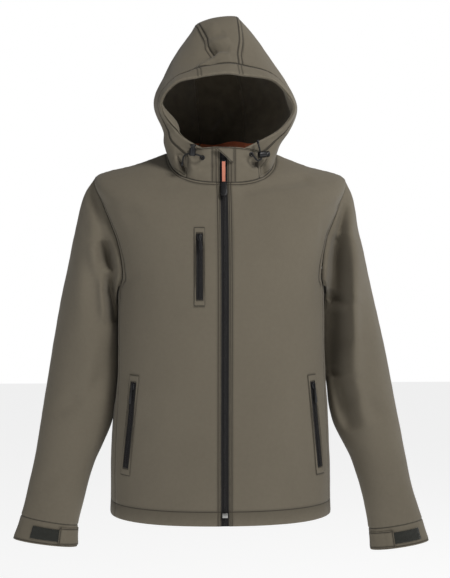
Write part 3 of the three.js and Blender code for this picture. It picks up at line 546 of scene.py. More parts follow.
def collarPoint(column, share):
    top = collarTopPoint(np.interp(column, [0, 2, 4], [zipOpening, collarTop["rimX"], collarTop["sideX"]]))
    return top + (neckSeam(column) - top) * np.asarray(share, float)[..., None]


# the hood's foot: the collar's top as far as column 2, its V seam as far as 5, and then the neck seam
def hoodFoot(column):
    column = np.asarray(column, float)[..., None]
    c = column[..., 0]
    top = collarPoint(np.clip(c, 0, 2) + 2, 0 * c)
    side = collarPoint(0 * c + 4, np.clip((c - 2) / 3, 0, 1))
    return np.where(column < 2, top, np.where(column < 5, side, neckSeam(c - 1)))


def hoodSide(columns, rows):
    levels = [smooth(section, np.asarray(columns) * 4 / lastColumn) for section in hoodSections.values()]
    return smooth(np.stack([*levels, hoodFoot(columns)]), np.asarray(rows) / 3)


# the strip over the crown and down the back: its rows are the side's columns and then the side's rows
def hoodStrip(rows, share):
    def seam(r):
        top = hoodSide(np.clip(r, 0, lastColumn), np.array([0.0]))[0]
        back = hoodSide(np.array([float(lastColumn)]), np.clip(r - lastColumn, 0, footRow))[:, 0]
        return np.where((r <= lastColumn)[:, None], top, back)

    rows = np.asarray(rows, float)
    lastWhole = lastColumn + footRow - 1
    within = np.minimum(rows, lastWhole)
    p, way = seam(within), seam(within + 1) - seam(np.maximum(within - 1, 0))
    out = xyz(0 * within, -way[:, 2], way[:, 1])
    out /= np.linalg.norm(out, axis=1)[:, None]
    p, out, share = p[:, None], out[:, None], np.asarray(share)[None, :, None]
    strip = p * np.concatenate([share, 0 * share + 1, 0 * share + 1], -1) + out * hoodShape["crown"] * (1 - share**2)
    foot = neckSeam(20 - 2 * np.abs(share[0, :, 0])) * xyz(np.where(share[0, :, 0] < 0, -1, 1), 1, 1)
    last = np.clip(rows - lastWhole, 0, 1)[:, None, None]
    return strip * (1 - last) + foot * last


# where the cloth of the hood is pulled aside: a place, how far round it reaches, and the pull
hoodPulls = [
    ((41, -97, 141), 30, (-17, 0, 1)), ((40, -66, 180), 26, (-8, 0, 1)), ((-40, -62, 182), 24, (24, 0, 1)),
    ((-39, -35, 217), 30, (17, 0, 1)), ((-39, -8, 252), 26, (6, 0, 0)), ((-41, -80, 160), 18, (-14, 0, -1)),
]


# the crown leans up towards the wearer's left, and the hood sways
def leaned(grid):
    pull = np.zeros(grid.shape)
    for at, reach, way in hoodPulls:
        far = np.linalg.norm(grid - np.array(at, float), axis=-1)
        pull += bell(far, reach)[..., None] * np.array(way, float)
    grid = grid + pull
    z = grid[..., 2]
    sway = smooth(hoodShape["sway"], np.clip(z / hoodShape["height"], 0, 1) * 4)
    sway = sway * step(z, *hoodShape["swayZ"])
    return grid + xyz(sway, 0, hoodShape["lean"] * grid[..., 0] * step(z, *hoodShape["leanZ"]))


brimColumn = 2.6  # where the brim's seam runs


def hoodBrim(start=brimColumn):
    columns = np.linspace(start, 0, 15)
    left = hoodSide(columns, np.linspace(0, footRow, 90)).transpose(1, 0, 2)
    strip = hoodStrip(columns, np.linspace(-1, 1, 26))
    return np.concatenate([mirrored(left), strip[:, 1:-1], left], axis=1)


# panels
# where a grid is close: from an edge, and to both sides of a line of stitches
closeMarks = {"edge": (0, 0.7, 1.6, 3), "stitch": (-1.2, -0.6, 0, 0.6, 1.2), "least": 0.35}


def marksFrom(stitches):
    marks = [*closeMarks["edge"], *(s + d for s in stitches for d in closeMarks["stitch"])]
    kept = []
    for m in sorted(marks):
        if not kept or m - kept[-1] >= closeMarks["least"]:
            kept.append(m)
        elif m in stitches:
            kept[-1] = m
    return [m for m in kept if m >= 0]


# the grid again with rows or columns at even steps, and at the marks from both of its edges. On a short line the
# marks move together, so that those of one edge take no more of it than the share in most
def respaced(grid, spacing, first, last, axis, most=0.46):
    lines = grid if axis == 1 else grid.transpose(1, 0, 2)
    reaches = [lengthsOf(line) for line in lines]
    room = np.mean([r[-1] for r in reaches])
    a, b = first[-1] if first else 0, last[-1] if last else 0
    count = max(int(math.ceil((room - a - b) / spacing)), 1)
    made = []
    for line, reach in zip(lines, reaches):
        fit = min(1, most * reach[-1] / max(a, b, 1))
        middle = np.linspace(a * fit, reach[-1] - b * fit, count + 1)
        near, far = [m * fit for m in first[:-1]], [reach[-1] - m * fit for m in reversed(last[:-1])]
        made.append(along(line, np.concatenate([near, middle, far])))
    made = np.array(made)
    return made if axis == 1 else made.transpose(1, 0, 2)


def normalsOf(grid, tube):
    if tube:
        across = np.roll(grid[:, :-1], -1, 1) - np.roll(grid[:, :-1], 1, 1)
        across = np.concatenate([across, across[:, :1]], 1)
    else:
        across = np.gradient(grid, axis=1)
    n = np.cross(np.gradient(grid, axis=0), across)
    return n / np.maximum(np.linalg.norm(n, axis=-1), 1e-9)[..., None]


panels = []
plain = {
    "tube": False, "spacing": 4, "lift": 0, "wall": 1.1, "look": "cloth", "inside": "lining", "laid": False,
    "top": (), "bottom": (), "left": (), "right": (), "hem": (), "pucker": 0.25, "groove": 0.8, "slot": "cloth",
    "stitchedFrom": {}, "crossed": (), "calmTop": 0, "bottomLip": 2.6,
}


# stitches are given for each edge as distances from it; hem names the edges that are turned, not sewn to another
def addPanel(name, node, grid, **settings):
    s = {**plain, "over": name, **settings, "name": name, "node": node}
    grid = respaced(grid, s["spacing"], marksFrom(s["top"]), marksFrom(s["bottom"]), 0)
    if s["tube"]:
        grid = respaced(grid, s["spacing"], [], [], 1)
    else:
        grid = respaced(grid, s["spacing"], marksFrom(s["left"]), marksFrom(s["right"]), 1)
    s["grid"] = grid
    panels.append(s)


def addBothSides(name, node, grid, **settings):
    addPanel(name + "Left", node + "_left", grid, **settings)
    swapped = {**settings, "left": settings.get("right", ()), "right": settings.get("left", ())}
    other = {"left": "right", "right": "left"}
    if "hem" in settings:
        swapped["hem"] = tuple(other.get(h, h) for h in settings["hem"])
    if "stitchedFrom" in settings:
        swapped["stitchedFrom"] = {other.get(h, h): reach for h, reach in settings["stitchedFrom"].items()}
    addPanel(name + "Right", node + "_right", mirrored(grid), **swapped)


bodySewing = {"zipEdge": (1.6, 5.2), "armhole": (10.5,), "neck": (4.6,), "hem": (25,), "armholeZ": (-232, -36)}
collarSewing = {"zipEdge": (1.6, 6.5, 13.5), "top": (2.2,)}
hoodSewing = {"beside": (6.6,), "neck": (7,), "brim": (1.4,), "face": (2,)}
cuffSewing = {"edge": (3,)}

addBothSides(
    "front", "front", frontPanel(), left=bodySewing["zipEdge"], right=bodySewing["armhole"], top=bodySewing["neck"],
    bottom=bodySewing["hem"], hem=("bottom", "left"), stitchedFrom={"right": bodySewing["armholeZ"]},
)
addPanel(
    "backPiece", "back", backPanel(), left=bodySewing["armhole"], right=bodySewing["armhole"], top=bodySewing["neck"],
    bottom=bodySewing["hem"], hem=("bottom",),
    stitchedFrom={"left": bodySewing["armholeZ"], "right": bodySewing["armholeZ"]},
)
for side, sections in (("left", leftSleeve), ("right", rightSleeve)):
    sleeve = sleeveGrid(sections, np.linspace(0, cuffSeam, 260))
    cuff = sleeveGrid(sections, np.linspace(cuffSeam, cuffSeam + 1, 30))
    if side == "right":
        sleeve, cuff = mirrored(sleeve), mirrored(cuff)
    title = side.capitalize()
    addPanel("sleeve" + title, "sleeve_" + side, sleeve, tube=True, calmTop=22, spacing=3.4)
    addPanel("cuff" + title, "cuff_" + side, cuff, tube=True, spacing=3, hem=("bottom",), bottom=cuffSewing["edge"])

collarColumns = np.linspace(0, 4, 60)
addBothSides(
    "collar", "collar", collarPoint(collarColumns[None, :], np.linspace(0, 1, 60)[:, None]),
    spacing=2.6, left=collarSewing["zipEdge"], top=collarSewing["top"], hem=("left", "top"),
)
hoodColumns, hoodRows = np.linspace(brimColumn, lastColumn, 150), np.linspace(0, footRow, 150)
gussetRows = np.linspace(brimColumn, lastColumn + footRow, 240)
addBothSides(
    "hoodSide", "hood_side", hoodSide(hoodColumns, hoodRows), top=hoodSewing["beside"], right=hoodSewing["beside"],
    bottom=hoodSewing["neck"], left=hoodSewing["brim"], spacing=3.6, bottomLip=6,
)
for panel in panels[-2:]:
    panel["grid"] = leaned(panel["grid"])
addPanel(
    "hoodGusset", "hood_gusset", leaned(hoodStrip(gussetRows, np.linspace(1, -1, 60))), left=hoodSewing["brim"],
    right=hoodSewing["brim"], top=hoodSewing["brim"], bottom=hoodSewing["neck"], spacing=3.4, bottomLip=6,
)
addPanel(
    "hoodBrim", "hood_brim", leaned(hoodBrim()), spacing=1.5, lift=1.2, wall=1, top=hoodSewing["face"], hem=("bottom",),
    crossed=leaned(hoodStrip(np.array([brimColumn]), np.array([-1, 1])))[0],
)


# the facing inside the brim stands off the hood at the sides of the face: where, how tall that is and how far off
facing = {"column": 4.4, "left": (-75, 56, 32, 24), "right": (85, 100, 26, 13), "fromX": (30, 70)}


def facingGrid(s):
    grid = hoodBrim(s["column"])
    share = np.linspace(1, 0, len(grid))[:, None]
    for x, z, tall, off in (s["left"], s["right"]):
        near = bell(grid[..., 2] - z, tall) * step(grid[..., 0] * np.sign(x), *s["fromX"])
        grid = grid - xyz(np.sign(x) * off * near * np.sin(math.pi / 2 * share), 0, 0)
    return grid


addPanel(
    "hoodFacing", None, leaned(facingGrid(facing)), spacing=2.4, lift=-2.6, wall=1, inside="cloth", laid=True,
    top=hoodSewing["face"], hem=("top", "bottom"), pucker=0.5,
)
print("panels laid out")


# what lies on the cloth
layOn, layThickness = 0.5, 1.2
pockets = {
    "chest": {"top": (-44.6, -142), "bottom": (-44.6, -258), "window": 6, "welt": 9.3, "ends": 12},
    "hand_left": {"top": (158.5, -405), "bottom": (173, -558), "window": 4.6, "welt": 8, "ends": 14},
}
pockets["hand_right"] = {**pockets["hand_left"], "top": (-158.5, -405), "bottom": (-173, -558)}
garage = {
    "below": 1.5, "drop": 27, "topX": -16, "bottomX": 14, "sewnX": 18, "clearX": 8, "overSlider": 7, "wall": 1.6,
    "press": 0.3,
}
cuffTab = {"from": 7.5, "to": {"left": 14.5, "right": 14.75}, "top": 0.25, "bottom": 1.85, "overPatch": 1.5}
cuffPatch = {"from": 13.7, "to": {"left": 16.6, "right": 17.2}, "top": 0.45, "bottom": 1.55}
zipTape = {"half": 9.5, "under": 1.35}
neckTape = {"from": 10.4, "to": 11.6, "looseAt": 22, "looseReach": 20, "loose": (0, -3, 6)}


def pieceName(node):
    words = node.split("_")
    return words[0] + "".join(w.capitalize() for w in words[1:])


def addPocket(name, s):
    top, bottom = np.array(s["top"], float), np.array(s["bottom"], float)
    length = np.linalg.norm(top - bottom)
    way = (top - bottom) / length
    side = np.array([way[1], -way[0]])

    def place(up, across):
        p = bottom + np.multiply.outer(up, way) + np.multiply.outer(across, side)
        return frontAt(p[..., 0], p[..., 1])

    ups, across = np.meshgrid(np.linspace(length, 0, 60), np.linspace(-1, 1, 7) * (s["window"] - 0.2), indexing="ij")
    title = pieceName(name)
    over = "frontLeft" if s["top"][0] > 0 else "frontRight"
    addPanel(
        title + "Zip", name + "_zip", place(ups, across), over=over, lift=layOn + layThickness, wall=1, look="zip",
        inside="zip", laid=True, spacing=2, pucker=0, groove=0, slot="zip",
    )

    def outline(half, beyond):
        low, high = -beyond, length + beyond
        upSide = np.linspace(low, high, 70)
        overTop = np.linspace(half, -half, 12)[1:-1]
        ups = np.concatenate([upSide, np.full(10, high), upSide[::-1], np.full(11, low)])
        return ups, np.concatenate([np.full(70, half), overTop, np.full(70, -half), -overTop, [half]])

    inner, outer = outline(s["window"], 0), outline(s["welt"], s["ends"])
    share = np.linspace(0, 1, 12)[:, None]
    ups, across = [a + (b - a) * share for a, b in zip(inner, outer)]
    addPanel(
        title + "Welt", name + "_welt", place(ups, across), over=over, tube=True, lift=layOn + layThickness, wall=1,
        laid=True, spacing=1.6, top=(1.3,), bottom=(1,), hem=("top", "bottom"), pucker=0.1, groove=0.4,
    )


for name, s in pockets.items():
    addPocket(name, s)


def mainZipGrid(s):
    x = np.linspace(-s["half"], s["half"], 11)
    top, foot = collarTopPoint(np.abs(x)), zipOnBody(x, 0.0)
    top[:, 0] = x
    onCollar = top + (foot - top) * np.linspace(0, 1, 30)[:, None, None]
    return np.concatenate([onCollar, zipOnBody(x, np.linspace(0, hemRing, 260)[1:, None])])


addPanel(
    "mainZip", "main_zip", mainZipGrid(zipTape), lift=-zipTape["under"], wall=0.7, look="zip", inside="zip", laid=True,
    spacing=2.4, pucker=0, groove=0, slot="zip",
)


def garageGrid(s):
    share, c = np.linspace(0, 1, 24)[:, None], np.linspace(0, 1, 24)[None, :]
    free = s["topX"] + (s["bottomX"] - s["topX"]) * share
    x = free + (s["sewnX"] - free) * c
    column = np.maximum(np.abs(x) - zipOpening, 0) / ((collarTop["rimX"] - zipOpening) / 2)
    first, second = collarPoint(np.array(0.0), np.array([0, 1 / 3]))
    at = collarPoint(column, (s["below"] + s["drop"] * share) / (first[2] - second[2]) / 3 + 0 * x)
    bulge = s["overSlider"] * step(s["sewnX"] - x, 0, s["sewnX"] - s["clearX"])
    return xyz(x, at[..., 1] + s["press"] - s["wall"] - bulge, at[..., 2])


addPanel(
    "zipGarage", "zip_garage", garageGrid(garage), wall=1.5, inside="cloth", laid=True, spacing=1.6, left=(2,),
    top=(1.6,), bottom=(1.6,), hem=("left", "top", "bottom"), pucker=0.1, groove=0.4,
)


def onGrid(grid, rows, columns):
    rows, columns = np.meshgrid(rows, columns, indexing="ij")
    r = np.clip(rows.astype(int), 0, grid.shape[0] - 2)
    c = np.clip(columns.astype(int), 0, grid.shape[1] - 2)
    a, b = (rows - r)[..., None], (columns - c)[..., None]
    upper = grid[r, c] * (1 - b) + grid[r, c + 1] * b
    return upper * (1 - a) + (grid[r + 1, c] * (1 - b) + grid[r + 1, c + 1] * b) * a


# columns are counted round the cuff from its outer edge, by the columns of the solid
def cuffPieceGrid(sections, s, side, shift):
    dense = sleeveGrid(sections, np.linspace(cuffSeam, cuffSeam + 1, 2 * cuffParts + 1))
    rows = np.linspace(s["top"], s["bottom"], 16) * cuffParts
    columns = np.linspace(s["from"], s["to"][side], 40)
    grid = onGrid(dense, rows, (columns + shift) * loopParts)
    if "overPatch" in s:
        out = normalsOf(grid, False) * step(columns, cuffPatch["from"] - 1, cuffPatch["from"])[None, :, None]
        grid = grid + out * s["overPatch"]
    return grid


for side, sections, shift in (("left", leftSleeve, 0), ("right", rightSleeve, -1)):
    for part, s, look, lines in (
        ("tab", cuffTab, "cloth", {"top": (2,), "bottom": (2,), "left": (2,), "right": (2,)}),
        ("patch", cuffPatch, "patch", {"left": (1.2,), "right": (1.2,)}),
    ):
        node, grid = f"cuff_{part}_{side}", cuffPieceGrid(sections, s, side, shift)
        addPanel(
            pieceName(node), node, grid if side == "left" else mirrored(grid), lift=layOn + layThickness, look=look,
            inside=look, slot=look, laid=True, spacing=1.8, pucker=0.05, groove=0.35,
            hem=("top", "bottom", "left", "right"), **lines,
        )


# the tape is sewn on beside the back of the neck, and stands off where it is loose
def neckTapeGrid(s):
    rows = np.linspace(s["from"], s["to"], 8)
    left = hoodSide(np.linspace(lastColumn - 2, lastColumn, 14), rows)
    middle = hoodStrip(lastColumn + rows, np.linspace(1, -1, 30))
    tape = np.concatenate([left[:, :-1], middle, mirrored(left)[:, 1:]], axis=1)
    return tape + xyz(*s["loose"]) * bell(tape[..., 0] - s["looseAt"], s["looseReach"])[..., None]


addPanel(
    "neckTape", "neck_tape", leaned(neckTapeGrid(neckTape)), lift=-1.7, wall=1, look="orange", inside="orange",
    laid=True, spacing=2, pucker=0.4, groove=0, slot="orange",
)
print("zips, pockets and tabs laid on")


# folds
# the large folds of the solids: from, to, width and depth; below 0 it is a ridge
folds = [
    ((-68, -88, 2), (-78, -74, -26), 13, 6), ((60, -92, -8), (78, -75, -30), 13, 4),
    ((-34, -20, 230), (-22, -60, 180), 15, 5), ((36, -98, -62), (150, -62, -36), 15, 4),
    ((-40, -98, -64), (-115, -82, -46), 15, 2.5),
    ((-212, -60, -160), (-206, -62, -240), 18, 6), ((212, -62, -150), (232, -56, -330), 20, 8),
    ((-215, -55, -400), (-262, -58, -440), 18, 4), ((222, -50, -430), (275, -52, -462), 18, 4),
    ((-290, 50, -380), (-240, 55, -440), 18, 5), ((292, 50, -390), (242, 55, -450), 18, 5),
    ((165, 88, -170), (95, 116, -270), 24, 4), ((-165, 88, -160), (-90, 116, -250), 24, 4),
    ((-95, 104, -400), (60, 106, -428), 26, 4),
]
# creases that cross a seam, so the panels on both sides have them
chinCreases = [((-79, 2), (-67, -32), 6, 15), ((67, -18), (80, 0), 5, 6), ((73, -10), (77, -36), 4.5, 6)]
crownCreases = [
    ((-49, -86, 160), (-19, -68, 180), 7, -5), ((-19, -68, 180), (2, -62, 186), 7, -3),
    ((-30, -52, 190), (14, -54, 193), 11, 9), ((-18, -35, 212), (6, -30, 225), 14, 5),
]
sideCreases = [((-191, 8, -240), (-191, 8, -450), 34, 9), ((192, 8, -240), (192, 8, -430), 30, 2.5)]
# creases of the cloth alone, by the start of a panel's name: from, to, width and depth.
# Rows with x and z lie on the front and are pushed straight back, and the others go in along the cloth.
creases = {
    "sleeveRight": [
        ((-228, -60), (-216, -150), 9, 4), ((-214, -150), (-202, -206), 12, 24), ((-202, -206), (-197, -300), 8, 22),
        ((-219, -190), (-200, -222), 6, -6), ((-240, -180), (-230, -310), 12, 4), ((-250, -150), (-262, -330), 20, -2),
        ((-205, -330), (-225, -440), 14, 5), ((-262, -430), (-300, -470), 13, 2.5),
        ((-285, -560), (-335, -600), 12, 1.6),
    ],
    "sleeveLeft": [
        ((222, -84), (214, -150), 11, 16), ((214, -140), (207, -262), 17, 40), ((206, -240), (208, -400), 16, 44),
        ((208, -380), (238, -500), 14, 20), ((204, -262), (226, -274), 8, -9), ((236, -110), (237, -340), 8, -4),
        ((262, -170), (268, -330), 18, 2), ((258, -430), (300, -480), 13, 2.5), ((290, -580), (335, -610), 12, 1.4),
    ],
    "frontLeft": [
        ((182, -118), (174, -168), 5, 1.6), ((174, -168), (175, -262), 6, 1.8), ((213, -77), (208, -93), 3.5, 1.6),
        ((221, -84), (212, -101), 3.5, 1.3), ((36, -62), (95, -54), 6, 1.8), ((95, -54), (160, -40), 8, 1.3),
        ((120, -470), (165, -600), 16, 1.2), ((60, -560), (140, -640), 15, 1),
    ],
    "frontRight": [
        ((-176, -88), (-150, -128), 14, 1.8), ((-40, -60), (-98, -52), 6, 1.2), ((-30, -560), (-130, -620), 16, 1.1),
        ((-120, -430), (-176, -520), 16, 1.3), ((-150, -210), (-185, -230), 8, 1.5),
    ],
    "collar": [
        *chinCreases, ((33, -4), (49, -9), 5, 3), ((49, -9), (67, -18), 6, 6), ((-44, -27), (-8, -20), 5, 2.4),
    ],
    "hoodSide": [
        *chinCreases, *crownCreases, ((60, 60, 200), (100, 40, 120), 14, 3), ((-60, 60, 200), (-96, 30, 110), 14, 3),
    ],
    "hoodGusset": [
        *crownCreases, ((4, 112, 125), (12, 108, 92), 9, 7), ((24, 110, 100), (-2, 100, 60), 9, 9),
        ((-2, 100, 60), (-12, 99, 58), 7, 4),
    ],
    "back": [
        *sideCreases, ((150, 90, -110), (60, 112, -150), 16, 1.8), ((-140, 90, -120), (-50, 112, -165), 16, 1.6),
        ((-120, 95, -560), (20, 112, -600), 18, 1.5), ((110, 100, -500), (40, 112, -560), 16, 1.3),
    ],
    "front": sideCreases,
}
# the cloth's own unevenness: height, length and where its noise starts. A crease has crests beside it, and fades out
softness = {"broad": (1.1, 70, 0), "fine": (0.35, 21, 9), "crest": 0.35, "ends": (0.02, 0.55)}
edgePressing = {"reach": 4, "least": 0.2, "rounds": 45}  # how far apart edges share a way, and how far it spreads


def press(points, rows, tapered):
    total = np.zeros(len(points))
    for start, end, width, depth in rows:
        points = points[:, [0, 2]] if len(start) == 2 and points.shape[1] == 3 else points
        a, way = np.array(start, float), np.subtract(end, start).astype(float)
        t = np.clip((points - a) @ way / (way @ way), 0, 1)
        far = np.linalg.norm(points - a - t[:, None] * way, axis=1)
        trough = bell(far, width)
        if tapered:
            trough = trough - softness["crest"] * bell(far - 2 * width, width)
            least, power = softness["ends"]
            trough *= (4 * t * (1 - t) + least) ** power
        total += depth * trough
    return total


def edgeMask(s):
    mask = np.zeros(s["grid"].shape[:2], bool)
    mask[[0, -1]] = True
    if not s["tube"]:
        mask[:, [0, -1]] = True
    return mask


def blurred(normals, tube, mask, rounds):
    n = normals.copy()
    for _ in range(rounds):
        tall = np.pad(n, ((1, 1), (0, 0), (0, 0)), "edge")
        wide = np.concatenate([n[:, -2:-1], n, n[:, 1:2]], 1) if tube else np.pad(n, ((0, 0), (1, 1), (0, 0)), "edge")
        soft = (tall[:-2] + tall[2:] + wide[:, :-2] + wide[:, 2:] + 2 * n) / 6
        n = np.where(mask[..., None], n, soft)
    return n / np.linalg.norm(n, axis=-1)[..., None]


# where panels meet, their cloth is pressed the same way
for s in panels:
    s["normals"] = normalsOf(s["grid"], s["tube"])
joined = [s for s in panels if not s["laid"]]
edges = [(p, n) for s in joined for p, n in zip(s["grid"][edgeMask(s)], s["normals"][edgeMask(s)])]
near = KDTree(len(edges))
for i, (p, n) in enumerate(edges):
    near.insert(p, i)
near.balance()
edgeNormals = np.array([n for p, n in edges])
for s in panels:
    mask = edgeMask(s)
    if not s["laid"]:
        shared = []
        for p in s["grid"][mask]:
            found = near.find_range(p, edgePressing["reach"])
            weights = np.array([edgePressing["reach"] + edgePressing["least"] - far for _, _, far in found])
            shared.append(weights @ edgeNormals[[i for _, i, _ in found]])
        s["normals"][mask] = shared / np.linalg.norm(shared, axis=1)[:, None]
    s["ways"] = blurred(s["normals"], s["tube"], mask & (not s["laid"]), edgePressing["rounds"])


def soft(points):
    total = np.zeros(len(points))
    for height, length, shift in (softness["broad"], softness["fine"]):
        total += [height * noise.noise(Vector(p) / length + Vector((shift, shift, shift))) for p in points]
    return total


for s in panels:
    flat = s["grid"].reshape(-1, 3)
    rows = [row for start, found in creases.items() if s["over"].startswith(start) for row in found]
    along3d = [row for row in rows if len(row[0]) == 3]
    pushed = press(flat, [row for row in rows if len(row[0]) == 2], True).reshape(s["grid"].shape[:2])
    depth = press(flat, folds, False) + press(flat, along3d, True) + soft(flat)
    pushed = pushed * step(-s["ways"][..., 1], 0, 0.25)  # none where the cloth turns away from the front
    if s["calmTop"]:
        pushed = pushed * step(runs(s["grid"], 0), 1, s["calmTop"])
    s["grid"] = s["grid"] - s["ways"] * depth.reshape(s["grid"].shape[:2])[..., None] + xyz(0, pushed, 0)
print("folds pressed")


# how deep and how wide each form of the sewing is; shade and crossingShade are painted shade, along the seams and
# stitches and beside the brim's crossing
sewn = {
    "seam": (1, 1.5), "turned": (0.45, 1.5), "roll": (0.3, 4), "stitch": (0.8, 1), "crossing": (0.6, 1.4),
    "besideCrossing": (0.4, 1.2), "crossingShade": (0.8, 1.3), "offCrossing": 3.2, "shade": 1.1, "worn": (0.8, 2.4),
    "fade": 6,
}
pucker = {"wave": 11, "drift": 37, "second": 23, "secondShare": 0.6, "reach": 9, "clear": 2.5}


# how much of a stitch line is there: an edge can be stitched between two heights only
def stitchedShare(s, edge, points):
    if edge not in s["stitchedFrom"]:
        return np.ones(points.shape[:-1])
    low, high = s["stitchedFrom"][edge]
    return step(points[..., 2], low - sewn["fade"], low) * (1 - step(points[..., 2], high, high + sewn["fade"]))


# a form of the sewing at distances from its line
def sewnForm(name, d):
    deep, wide = sewn[name]
    return deep * bell(d, wide)


def puckerAt(run, d):
    wave = np.sin(2 * math.pi * run / pucker["wave"] + 2 * np.sin(run / pucker["drift"]))
    wave = wave + pucker["secondShare"] * np.sin(2 * math.pi * run / pucker["second"] + 1)
    return wave * bell(d, pucker["reach"]) * (1 - bell(d, pucker["clear"]))


# grooves along the seams and stitches, with a little pucker beside them, painted shade along them and beside the brim's
# crossing, and how worn the cloth is near its edges
def sewingOf(s):
    grid = s["grid"]
    down, across = runs(grid, 0), runs(grid, 1)
    far = {"top": (down, across), "bottom": (down[-1] - down, across)}
    if not s["tube"]:
        far.update(left=(across, down), right=(across[:, -1:] - across, down))
    depth, dark, worn = np.zeros(down.shape), np.zeros(down.shape), np.zeros(down.shape)
    for edge, (d, run) in far.items():
        turnedEdge = edge in s["hem"]
        stitched = stitchedShare(s, edge, grid)
        depth += s["groove"] * sewnForm("turned" if turnedEdge else "seam", d)
        if turnedEdge:
            depth -= sewnForm("roll", d - sewn["roll"][1])
        else:
            # painted shade in the join of a sewn edge
            dark = np.maximum(dark, bell(d, sewn["shade"]))
        for stitch in s[edge]:
            depth += s["groove"] * stitched * sewnForm("stitch", d - stitch)
            # painted shade along the stitch line, standing partly for the dark thread
            dark = np.maximum(dark, stitched * bell(d - stitch, sewn["shade"]))
        if s[edge] or not turnedEdge:
            depth += s["pucker"] * puckerAt(run, d)
        worn = np.maximum(worn, sewnForm("worn", d))
    for p in s["crossed"]:
        column = np.argmin(np.linalg.norm(grid[0] - p, axis=1))
        d = np.abs(across - across[:, column : column + 1])
        beside = d - sewn["offCrossing"]
        depth += sewnForm("crossing", d) + sewnForm("besideCrossing", beside)
        # painted shade beside the brim's crossing
        dark = np.maximum(dark, sewnForm("crossingShade", beside))
    s["grid"] = grid - normalsOf(grid, s["tube"]) * (depth - s["lift"])[..., None]
    s["normals"] = normalsOf(s["grid"], s["tube"])
    s["dark"], s["worn"], s["down"], s["across"] = dark, worn, down, across


for s in panels:
    sewingOf(s)


# the brim is a hem turned back inside the hood, with a cord in it
brimHem = {"proud": 1.2, "thick": 3.4, "rollSteps": 6, "rise": 1.3, "insideShade": 0.5}


def turnHem(s, hem):
    grid, normals = s["grid"] - s["normals"] * s["lift"], s["normals"]
    share = np.linspace(0, 1, len(grid))[:, None, None]
    outer = grid + normals * hem["proud"] * np.sin(math.pi * np.minimum(share * hem["rise"], 0.5))
    onward = grid[-1] - grid[-2]
    onward /= np.linalg.norm(onward, axis=1)[:, None]
    half = hem["thick"] / 2
    middle = grid[-1] + normals[-1] * (hem["proud"] - half)
    angles = np.linspace(0, math.pi, hem["rollSteps"] + 2)[1:-1, None, None]
    roll = middle + normals[-1] * half * np.cos(angles) + onward * half * np.sin(angles)
    inner = (grid + normals * (hem["proud"] - hem["thick"]))[::-1]
    s["grid"] = np.concatenate([outer, roll, inner])
    filler = np.zeros((len(roll), grid.shape[1]))
    # on the inside of the hem the painted shade and the wear are scaled by insideShade
    for name in ("dark", "worn"):
        s[name] = np.concatenate([s[name], filler, s[name][::-1] * hem["insideShade"]])
    run = s["down"][-1]
    s["down"] = np.concatenate([s["down"], run + filler, run + s["down"]])
    s["across"] = np.concatenate([s["across"], filler + s["across"][-1], s["across"][::-1]])


# a seam's allowance: cloth turned in just past the edge, so no light comes through
def addLips(s, far=2.6, under=1.8):
    grid, normals = s["grid"], s["normals"]
    for edge, axis, at, inner, front in (
        ("top", 0, 0, 1, True), ("bottom", 0, -1, -2, False), ("left", 1, 0, 1, True), ("right", 1, -1, -2, False),
    ):
        if edge in s["hem"] or (axis == 1 and s["tube"]):
            continue
        border, normal = np.take(grid, at, axis), np.take(normals, at, axis)
        onward = border - np.take(grid, inner, axis)
        onward /= np.maximum(np.linalg.norm(onward, axis=1), 1e-6)[:, None]
        out = s["bottomLip"] if edge == "bottom" else far
        lip = np.expand_dims(border + onward * out - normal * under, axis)
        grid = np.concatenate([lip, grid] if front else [grid, lip], axis)
        same = np.expand_dims(normal, axis)
        normals = np.concatenate([same, normals] if front else [normals, same], axis)
        for name in ("dark", "worn", "down", "across"):
            edgeValues = np.expand_dims(np.take(s[name], at, axis), axis)
            s[name] = np.concatenate([edgeValues, s[name]] if front else [s[name], edgeValues], axis)
    s["grid"], s["normals"] = grid, normals


panelNamed = {s["name"]: s for s in panels}
stitchLines = []
threadOf = {"cloth": "thread", "patch": "darkThread", "orange": "thread", "zip": "darkThread"}
for s in panels:
    for edge in ("top", "bottom", "left", "right"):
        marks = marksFrom(s[edge])
        for stitch in s[edge]:
            i = marks.index(stitch) if edge in ("top", "left") else -1 - marks.index(stitch)
            pick = (i,) if edge in ("top", "bottom") else (slice(None), i)
            kept = stitchedShare(s, edge, s["grid"][pick]) > 0.5
            stitchLines.append((s, s["grid"][pick][kept], s["normals"][pick][kept]))
turnHem(panelNamed["hoodBrim"], brimHem)
for s in panels:
    if not s["laid"] and s["name"] != "hoodBrim":
        addLips(s)


# meshes
def finishPiece(piece, body, slot, *nodes):
    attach(piece, body)
    if nodes:
        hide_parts(*nodes)
    return piece


def newObject(name, mesh, *materials):
    for look in materials:
        mesh.materials.append(looks[look])
    piece = bpy.data.objects.new(name, mesh)
    bpy.context.scene.collection.objects.link(piece)
    return piece


